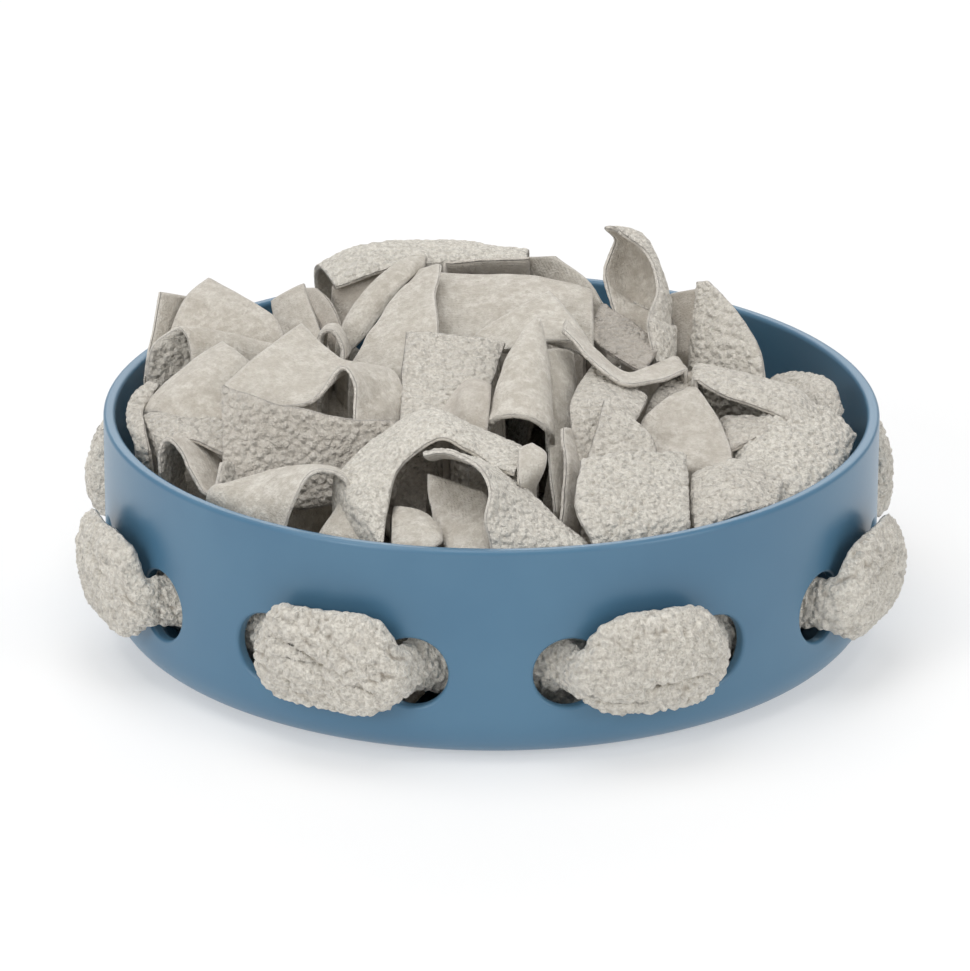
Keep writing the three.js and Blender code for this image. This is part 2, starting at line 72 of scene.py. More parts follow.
# How finely the bowl's surface is divided: shares of the way from a hole's edge to its
# sector's rectangle, steps round each corner, and radii and heights of the plain stretches
SECTOR_COLUMNS = 24
SECTOR_ROWS = 16
HOLE_RINGS = (1.0, 0.75, 0.5, 0.27, 0.1, 0.03)
HOLE_ROUND_STEPS = 5
BASE_CORNER_STEPS = 14
INNER_CORNER_STEPS = 10
RIM_STEPS = 6
RIM_LEDGE = 0.4
BASE_RADII = (0, 40, 80, 110, 121)
FLOOR_RADII = (110, 80, 40, 0)
OUTER_HEIGHTS = (57, 64, 71, 76)
INNER_HEIGHTS = (74, 66, 58)
SAME_POINT = 0.02
TINY_EDGE = 0.001

# Cloth, in millimetres and degrees
PILE_SIDE = 1.6
SMOOTH_SIDE = 1.0
ROOT_HEIGHT = BOWL_FLOOR + 0.5
ROOT_HALF = 17.0
ROOT_CURL = 0.3
SMALL_CURL = 0.1
EDGE_BULGE = 0.55
EDGE_EASE = 2.4
EDGE_THINNEST = 0.62
EDGE_PALE = 0.9
END_INSET = 0.3
PILE_BASE = 0.8
ROLL_POWER = 7
SMALLEST_HALF = 4.0
WEAVE_SHIFT = 0.31

# How finely the cloth is divided
CURVE_STEPS = 24
EDGE_STEPS = 3
LEAST_COLUMNS = 6
LEAST_ROWS = 6

# The root of a strip that goes straight down from its first row
BELOW = "below"

# Unevenness of the cloth: (size of the waves or tufts, height), both in millimetres
BROAD_CRUMPLE = (21, 1.1)
FINE_CRUMPLE = (9, 0.5)
EDGE_WANDER = (9, 0.5)
TUFT_DRIFT = (6, 1.2)
BIG_TUFTS = (3.2, 1.15)
SMALL_TUFTS = (2.1, 0.4)
PILE_HOLLOWS = (11, 0.35)
FINE_NAP = (3.1, 0.12)
BROAD_NAP = (7, 0.1)
PILE_LEAST = 0.45
PILE_SUNK = 0.4
TUFT_MARGIN = 0.1
TUFT_SPREAD = 0.8
TUFT_RADIUS = 0.62

# How a strip is made up: the side the pile is on (1 the outer face, -1 the inner one), how far its
# colour is darkened (partly the cloth's own greyer colour, partly painted shade where the strip
# lies in shade), the roll of its edges in degrees, the height of its crumples, how lush its pile
# is and the seed of its patterns
Looks = namedtuple("Looks", "pile tone roll crumple lush seed")


def camera():
    """The photograph's camera: tilted down, and turned a little about its own line of sight."""
    data = bpy.data.cameras.new("camera")
    data.sensor_width = SENSOR
    data.lens = FOCAL_PIXELS / PICTURE_SIDE * SENSOR
    data.shift_x = PICTURE_SHIFT / PICTURE_SIDE
    data.clip_start = 0.1
    data.clip_end = 50
    eye = bpy.data.objects.new("camera", data)
    eye.location = CAMERA_PLACE
    tilt = Matrix.Rotation(math.radians(90 - CAMERA_TILT), 3, "X")
    eye.rotation_euler = (tilt @ Matrix.Rotation(math.radians(CAMERA_ROLL), 3, "Z")).to_euler()
    bpy.context.scene.collection.objects.link(eye)
    bpy.context.scene.camera = eye


camera()


# Patterns on the cloth. Each takes arrays of millimetres along two directions of the surface.

def scatter(column, row, seed):
    """Two numbers from 0 to 1 for each whole-numbered cell: the cell's column, row and the seed
    are multiplied by large odd numbers and their bits are stirred."""
    value = (column.astype(np.int64) * 374761393 + row.astype(np.int64) * 668265263
             + seed * 2147483647) & 0xFFFFFFFF
    value = ((value ^ (value >> 13)) * 1274126177) & 0xFFFFFFFF
    value = ((value ^ (value >> 16)) * 2246822519) & 0xFFFFFFFF
    return (value & 0xFFFF) / 65535.0, ((value >> 16) & 0xFFFF) / 65535.0


def swell(x, y, size, seed):
    """Soft waves from -1 to 1: random heights at the corners of square cells of the given size,
    with a smooth step between them."""
    x, y = np.broadcast_arrays(x / size, y / size)
    column, row = np.floor(x), np.floor(y)
    fx, fy = x - column, y - row
    fx, fy = fx * fx * (3 - 2 * fx), fy * fy * (3 - 2 * fy)

    def corner(dx, dy):
        return scatter(column + dx, row + dy, seed)[0]

    low = corner(0, 0) * (1 - fx) + corner(1, 0) * fx
    high = corner(0, 1) * (1 - fx) + corner(1, 1) * fx
    return 2 * (low * (1 - fy) + high * fy) - 1


def curls(x, y, size, seed):
    """Rounded tufts from 0 to 1: the distance to the nearest of one random point in each square
    cell, turned into a dome with a crease round it."""
    x, y = np.broadcast_arrays(x / size, y / size)
    column, row = np.floor(x), np.floor(y)
    nearest = np.full(x.shape, np.inf)
    for dx in (-1, 0, 1):
        for dy in (-1, 0, 1):
            u, v = scatter(column + dx, row + dy, seed)
            away = np.hypot(column + dx + TUFT_MARGIN + TUFT_SPREAD * u - x,
                            row + dy + TUFT_MARGIN + TUFT_SPREAD * v - y)
            nearest = np.minimum(nearest, away)
    return np.clip(1 - (nearest / TUFT_RADIUS) ** 2, 0, 1)


# Curves and meshes

def smooth_curve(points, steps):
    """Uniform Catmull-Rom curve through the rows of an array, with the given steps from each
    row to the next. The ends are mirrored."""
    points = np.asarray(points, float)
    spans = len(points) - 1
    place = np.linspace(0, spans, spans * steps + 1)
    k = np.minimum(place.astype(int), spans - 1)
    f = (place - k)[:, None]
    padded = np.vstack([2 * points[0] - points[1], points, 2 * points[-1] - points[-2]])
    a, b, c, d = padded[k], padded[k + 1], padded[k + 2], padded[k + 3]
    return 0.5 * (2 * b + (c - a) * f + (2 * a - 5 * b + 4 * c - d) * f ** 2
                  + (3 * b - a - 3 * c + d) * f ** 3)


def along(points):
    """Distance from the first row of an array of points to each row."""
    return np.concatenate([[0], np.cumsum(np.linalg.norm(np.diff(points, axis=0), axis=1))])


def resample(values, place, wanted):
    """Columns of an array read at other places along it."""
    return np.stack([np.interp(wanted, place, column) for column in values.T], axis=1)


def unit(vectors):
    """Vectors of length one along the last axis."""
    return vectors / np.maximum(np.linalg.norm(vectors, axis=-1, keepdims=True), 1e-12)


def new_piece(name, points, faces, material, attributes=None):
    """Smooth-shaded mesh object, riding on the root, from an array of points in millimetres and
    a list of arrays of faces."""
    mesh = bpy.data.meshes.new(name)
    lists = [face for block in faces for face in np.asarray(block).tolist()]
    mesh.from_pydata((points * MM).tolist(), [], lists)
    for key, values in (attributes or {}).items():
        layer = mesh.attributes.new(key, "FLOAT_VECTOR", "POINT")
        layer.data.foreach_set("vector", np.asarray(values, np.float32).ravel())
    mesh.polygons.foreach_set("use_smooth", np.ones(len(mesh.polygons), bool))
    mesh.materials.append(material)
    mesh.update()
    piece = bpy.data.objects.new(name, mesh)
    bpy.context.scene.collection.objects.link(piece)
    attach(piece, "root")
    return piece


# Bowl

def arc(centre, radius, start, end, count):
    """Points of a circle's arc in the plane of radius and height, angles in degrees."""
    angle = np.radians(np.linspace(start, end, count + 1))
    return np.stack([centre[0] + radius * np.cos(angle), centre[1] + radius * np.sin(angle)], 1)


def level_points(radii, height):
    """Points of a profile at the given radii, all at one height."""
    return np.array([(radius, height) for radius in radii], float)


def upright_points(radius, heights):
    """Points of a profile at the given heights, all at one radius."""
    return np.array([(radius, height) for height in heights], float)


def turned(profile, columns):
    """Points and faces of a profile of radius and height turned about the Z axis. The profile
    runs so that the faces look to its right-hand side, outwards for a wall drawn upwards."""
    turn = 2 * np.pi * np.arange(columns) / columns
    radius, height = profile[:, :1], profile[:, 1:]
    points = np.stack([radius * np.sin(turn), -radius * np.cos(turn),
                       height + 0 * turn], -1).reshape(-1, 3)
    at = np.arange(len(points)).reshape(len(profile), columns)
    beside = np.roll(at, -1, axis=1)
    faces = np.stack([at[:-1], beside[:-1], beside[1:], at[1:]], -1).reshape(-1, 4)
    return points, faces


def hole_sector():
    """One sector of the wall with its hole, flat, as rings of points (across, height, depth in
    from the outer face). Each ring is the circle of the hole widened towards the sector's
    rectangle, ring by ring, then rounded over the hole's edge and through the wall."""
    half_wide = HOLE_PITCH / 2
    across = np.linspace(-1, 1, SECTOR_COLUMNS + 1)
    up = np.linspace(-1, 1, SECTOR_ROWS + 1)
    rows, columns = np.ones(SECTOR_ROWS), np.ones(SECTOR_COLUMNS)
    frame_x = np.concatenate([across[:-1], rows, -across[:-1], -rows])
    frame_z = np.concatenate([-columns, up[:-1], columns, -up[:-1]])
    wide = BOWL_RADIUS * math.radians(half_wide)
    angle = np.arctan2(frame_z * BAND_HALF, frame_x * wide)
    # The spokes lie halfway between those to the rectangle's points and evenly spread ones
    even = -np.pi + np.arange(len(angle)) * 2 * np.pi / len(angle)
    even += np.arctan2(-BAND_HALF, -wide) + np.pi
    angle = np.unwrap(angle) * 0.5 + even * 0.5
    circle = np.stack([np.cos(angle), np.sin(angle)], 1)
    corner = np.stack([frame_x * wide, frame_z * BAND_HALF], 1)
    edge = (HOLE_RADIUS + HOLE_ROUND) * circle
    rings = []
    for part in HOLE_RINGS:
        flat = edge * (1 - part) + corner * part
        rings.append(np.column_stack([flat, np.zeros(len(flat))]))
    for bend in np.radians(np.linspace(0, 90, HOLE_ROUND_STEPS + 1)):
        out = HOLE_RADIUS + HOLE_ROUND * (1 - math.sin(bend))
        depth = HOLE_ROUND * (1 - math.cos(bend))
        rings.append(np.column_stack([out * circle, np.full(len(circle), depth)]))
    outer = np.array(rings)
    inner = outer[::-1].copy()
    inner[..., 2] = BOWL_WALL - inner[..., 2]
    return np.concatenate([outer, inner])


def bowl_points():
    """All points and faces of the bowl: sixteen sectors bent round the wall, and four turned
    bands, the base, the rim, the inside below the sectors and the floor."""
    low, high = HOLE_HEIGHT - BAND_HALF, HOLE_HEIGHT + BAND_HALF
    columns = SECTOR_COLUMNS * HOLE_COUNT
    flat = hole_sector()
    rings, spokes = flat.shape[:2]
    at = np.arange(rings * spokes).reshape(rings, spokes)
    beside = np.roll(at, -1, axis=1)
    ring_faces = np.stack([at[:-1], beside[:-1], beside[1:], at[1:]], -1).reshape(-1, 4)
    points, faces, start = [], [], 0
    for k in range(HOLE_COUNT):
        turn = math.radians(HOLE_PITCH * (k + 0.5)) + flat[..., 0] / BOWL_RADIUS
        radius = BOWL_RADIUS - flat[..., 2]
        height = HOLE_HEIGHT + flat[..., 1]
        block = np.stack([radius * np.sin(turn), -radius * np.cos(turn), height], -1)
        points.append(block.reshape(-1, 3))
        faces.append(ring_faces + start)
        start += rings * spokes
    ledge = BOWL_HEIGHT - RIM_ROUND - RIM_LEDGE
    base = np.vstack([
        level_points(BASE_RADII, 0),
        arc((BOWL_RADIUS - BASE_CORNER, BASE_CORNER), BASE_CORNER, -90, 0, BASE_CORNER_STEPS),
        upright_points(BOWL_RADIUS, (low,)),
    ])
    rim = np.vstack([
        upright_points(BOWL_RADIUS, (high, *OUTER_HEIGHTS, ledge)),
        arc((BOWL_RADIUS - RIM_ROUND, BOWL_HEIGHT - RIM_ROUND), RIM_ROUND, 0, 90, RIM_STEPS),
        arc((INNER_RADIUS + RIM_ROUND, BOWL_HEIGHT - RIM_ROUND), RIM_ROUND, 90, 180, RIM_STEPS),
        upright_points(INNER_RADIUS, (ledge, *INNER_HEIGHTS, high)),
    ])
    corner = (INNER_RADIUS - INNER_CORNER, BOWL_FLOOR + INNER_CORNER)
    inside = np.vstack([
        upright_points(INNER_RADIUS, (low,)),
        arc(corner, INNER_CORNER, 0, -90, INNER_CORNER_STEPS),
        level_points(FLOOR_RADII, BOWL_FLOOR),
    ])
    for profile in (base, rim, inside):
        block, block_faces = turned(profile, columns)
        points.append(block)
        faces.append(block_faces + start)
        start += len(block)
    return np.concatenate(points), faces


def make_bowl(material):
    """The bowl as one closed mesh, its sectors and bands welded where they meet."""
    points, faces = bowl_points()
    piece = new_piece("feeding_bowl", points, faces, material)
    shape = bmesh.new()
    shape.from_mesh(piece.data)
    bmesh.ops.remove_doubles(shape, verts=shape.verts, dist=SAME_POINT * MM)
    bmesh.ops.dissolve_degenerate(shape, edges=shape.edges, dist=TINY_EDGE * MM)
    bmesh.ops.recalc_face_normals(shape, faces=shape.faces)
    shape.to_mesh(piece.data)
    shape.free()
    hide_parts("bowl")


# Fleece. A strip is an arc of cloth carried along a path, as in the solids. Here it also gets
# its pile, soft crumples, rounded cut edges and creases.

def section_edges(rows):
    """Left and right edge points of each row of a strip. A row is the middle of the line
    across, the line's heading in plan and slope in degrees, half the flat width and the curl."""
    rows = np.asarray(rows, float)
    heading, slope = np.radians(rows[:, 3]), np.radians(rows[:, 4])
    half, bend = rows[:, 5], np.radians(rows[:, 6]) / 2
    chord = np.where(np.abs(rows[:, 6]) < SMALL_CURL, half, half * np.sinc(bend / np.pi))
    level = np.cos(slope)
    line = np.stack([level * np.cos(heading), level * np.sin(heading), np.sin(slope)], 1)
    reach = line * chord[:, None]
    return np.hstack([rows[:, :3] - reach, rows[:, :3] + reach, rows[:, 6:7]])


def with_root(sections, rows, root):
    """Rows of edges from the strip's root on the bowl's floor up to its first row, in a
    straight run, then the smooth curve through the rows."""
    shown = smooth_curve(sections, CURVE_STEPS)
    if root is None:
        return shown, 0
    x, y, _, heading, _, half, curl = rows[0]
    x, y = (x, y) if root == BELOW else root
    narrow = min(half, ROOT_HALF)
    foot = section_edges([(x, y, ROOT_HEIGHT, heading, 0, narrow, curl * ROOT_CURL)])
    rise = np.linspace(0, 1, CURVE_STEPS + 1)[:-1, None]
    hidden = foot * (1 - rise) + sections[:1] * rise
    return np.vstack([hidden, shown]), len(hidden)


def even_rows(edges, hidden, spacing, coarse):
    """The same edges at even spacing along the middle, coarse in the hidden root, and the
    distance of each row along it."""
    middle = (edges[:, :3] + edges[:, 3:6]) / 2
    place = along(middle)
    start = place[hidden]
    steps = max(int((place[-1] - start) / spacing) + 1, LEAST_ROWS)
    wanted = np.linspace(start, place[-1], steps)
    if hidden:
        root_steps = max(int(start / coarse) + 1, 2)
        wanted = np.concatenate([np.linspace(0, start, root_steps)[:-1], wanted])
    return resample(edges, place, wanted), wanted


def waves(x, y, form, seed):
    """Soft waves of a given size and height."""
    size, height = form
    return height * swell(x, y, size, seed)


def cloth_surface(edges, place, spacing, looks):
    """Middle surface of the cloth and its upward direction, as arrays of rows by columns.
    Across each row the cloth's direction turns evenly by the curl, and by the roll besides
    close to its edges; the points are the running sum of that direction. Soft waves lift the
    surface along its own direction."""
    left, right, curl = edges[:, :3], edges[:, 3:6], edges[:, 6]
    line = right - left
    chord = np.linalg.norm(line, axis=1) / 2
    a = unit(line)
    middle = (left + right) / 2
    path = np.gradient(middle, np.maximum(place, np.arange(len(place)) * 1e-6), axis=0)
    t = unit(path - (path * a).sum(1)[:, None] * a)
    n = np.cross(a, t)
    bend = np.radians(np.where(np.abs(curl) < SMALL_CURL, SMALL_CURL, curl)) / 2
    half = chord * bend / np.sin(bend)
    count = max(int(2 * half.max() / spacing / 2) * 2, LEAST_COLUMNS)
    s = np.linspace(-1, 1, count + 1)
    wander = waves(place, looks.seed, EDGE_WANDER, looks.seed + 5)
    reach = (half * (1 + wander / np.maximum(half, SMALLEST_HALF)))[:, None]
    turn = bend[:, None] * s + math.radians(looks.roll) * s ** ROLL_POWER
    step = np.diff(s)[None] * reach
    between = (turn[:, 1:] + turn[:, :-1]) / 2
    zero = np.zeros((len(place), 1))
    x = np.hstack([zero, np.cumsum(step * np.cos(between), axis=1)])
    y = np.hstack([zero, np.cumsum(-step * np.sin(between), axis=1)])
    mid = count // 2
    x -= x[:, mid:mid + 1]
    y -= y[:, mid:mid + 1]
    y += (chord * np.tan(bend / 2))[:, None]
    surface = middle[:, None] + a[:, None] * x[..., None] + n[:, None] * y[..., None]
    upward = a[:, None] * np.sin(turn)[..., None] + n[:, None] * np.cos(turn)[..., None]
    across = s[None] * reach
    length = np.broadcast_to(place[:, None], across.shape)
    crumple = (waves(across, length, BROAD_CRUMPLE, looks.seed)
               + waves(across, length, FINE_CRUMPLE, looks.seed + 1))
    surface = surface + upward * (looks.crumple * crumple)[..., None]
    return surface, upward, across, length, half


def surface_normals(surface, upward):
    """Directions square to a grid of points, on the side that upward gives."""
    down_rows = np.gradient(surface, axis=0)
    over_columns = np.gradient(surface, axis=1)
    normal = unit(np.cross(over_columns, down_rows))
    side = np.sign((normal * upward).sum(-1, keepdims=True))
    return unit(np.where(np.abs(side) > 0, normal * side, upward))


def pile_height(across, length, looks):
    """Height of the curly pile in millimetres: rounded tufts of two sizes, shifted a little by
    soft waves so that they don't lie in rows, over soft hollows."""
    seed = looks.seed
    drift = waves(across, length, TUFT_DRIFT, seed + 2)
    sway = waves(length, across, TUFT_DRIFT, seed + 3)
    size, height = BIG_TUFTS
    relief = height * curls(across + drift, length + sway, size, seed + 7)
    size, height = SMALL_TUFTS
    relief = relief + height * curls(across - sway, length + drift, size, seed + 9)
    relief = relief + waves(across, length, PILE_HOLLOWS, seed + 4)
    return PILE_LEAST + looks.lush * (relief - PILE_SUNK)


def nap_height(across, length, seed):
    """Height of the smooth side: a slight unevenness of the nap."""
    return (waves(across, length, FINE_NAP, seed + 6)
            + waves(across, length, BROAD_NAP, seed + 8))


def strip_faces(rows, count):
    """Faces of a closed strip. A row's ring runs over the upper face from left to right, round
    the right-hand cut edge, back under the lower face and round the left-hand edge."""
    ring = 2 * (count + 1) + 2 * EDGE_STEPS
    at = np.arange(rows * ring).reshape(rows, ring)
    beside = np.roll(at, -1, axis=1)
    wall = np.stack([at[:-1], beside[:-1], beside[1:], at[1:]], -1).reshape(-1, 4)
    top = np.arange(count + 1)
    under = 2 * count + 1 + EDGE_STEPS - top
    caps = np.stack([top[:-1], top[1:], under[1:], under[:-1]], -1)
    right = np.arange(count, count + EDGE_STEPS + 2)[None]
    left = np.concatenate([np.arange(2 * count + 1 + EDGE_STEPS, ring), [0]])[None]
    last = (rows - 1) * ring
    return [wall, caps + last, right + last, left + last,
            caps[:, ::-1], right[:, ::-1], left[:, ::-1]]


def cut_edge(surface, upper, lower, normal, column, outward):
    """Points of the rounded cut edge at the first or last column: half a flattened circle from
    the upper to the lower face."""
    rim = unit(surface[:, column] - surface[:, column - outward])
    middle = (upper[:, column] + lower[:, column]) / 2
    thick = np.linalg.norm(upper[:, column] - lower[:, column], axis=1) / 2
    swing = np.radians(np.linspace(0, 180, EDGE_STEPS + 2))[1:-1][::outward, None]
    up = (normal[:, column] * thick[:, None])[:, None]
    out = (rim * thick[:, None])[:, None]
    return middle[:, None] + np.cos(swing) * up + EDGE_BULGE * np.sin(swing) * out


def ringed(upper, edges, lower):
    """Values round each row's ring: the upper face, the right-hand cut edge, the lower face
    from right to left and the left-hand cut edge."""
    right, left = edges
    return np.concatenate([upper, right, lower[:, ::-1], left], axis=1)


def fleece_strip(name, edges, place, looks, spacing, material, press=None):
    """Closed strip of double-faced cloth round its middle surface: the pile on one side, the
    smooth nap on the other, each with its own height, and a rounded cut edge all round. Close
    to the edges and the ends both faces draw together. Returns the piece, its flat size and its
    area in metres."""
    surface, upward, across, length, half = cloth_surface(edges, place, spacing, looks)
    if press:
        surface = press(surface, upward, across, length)
    normal = surface_normals(surface, upward)
    rows, columns = across.shape
    from_side = np.abs(across[:, -1:]) - np.abs(across)
    from_end = np.minimum(length, place[-1] - length)
    from_edge = np.minimum(from_side, from_end + END_INSET)
    ease = np.clip(from_edge / EDGE_EASE, 0, 1)
    ease = EDGE_THINNEST + (1 - EDGE_THINNEST) * np.sqrt(1 - (1 - ease) ** 2)
    pile_up = (PILE_SIDE - PILE_BASE + pile_height(across, length, looks)) * ease
    nap_up = (SMOOTH_SIDE + nap_height(across, length, looks.seed)) * ease
    over, under = (pile_up, nap_up) if looks.pile > 0 else (nap_up, pile_up)
    upper = surface + normal * over[..., None]
    lower = surface - normal * under[..., None]
    cut = [cut_edge(surface, upper, lower, normal, column, outward)
           for column, outward in ((columns - 1, 1), (0, -1))]
    ring = ringed(upper, cut, lower)

    def on_faces(upper_value, lower_value, edge_value):
        plain = np.zeros((rows, columns))
        bare = np.full((rows, EDGE_STEPS), float(edge_value))
        return ringed(plain + upper_value, (bare, bare), plain + lower_value)

    pale = np.exp(-(from_edge / EDGE_PALE) ** 2)
    right, left = (np.repeat(across[:, column:][:, :1], EDGE_STEPS, 1) for column in (-1, 0))
    flat_across = ringed(across, (right, left), across)
    flat_length = np.repeat(length[:, :1], ring.shape[1], 1)
    weave = np.stack([flat_across * MM, flat_length * MM + WEAVE_SHIFT * looks.seed,
                      on_faces(over, under, 1)], -1)
    # Marks: the pile side, the pale cut edge and the tone, the strip's darkening partly as painted
    # shade
    marks = np.stack([on_faces(looks.pile > 0, looks.pile < 0, 0.5), on_faces(pale, pale, 1),
                      np.full(ring.shape[:2], looks.tone)], -1)
    piece = new_piece(name, ring.reshape(-1, 3), strip_faces(rows, columns - 1), material,
                      {"weave": weave.reshape(-1, 3), "marks": marks.reshape(-1, 3)})
    width = float(2 * half.max()) * MM
    long = float(place[-1]) * MM
    area = float(np.trapz(2 * half, place)) * MM * MM
    return piece, (width, long), min(area, width * long)


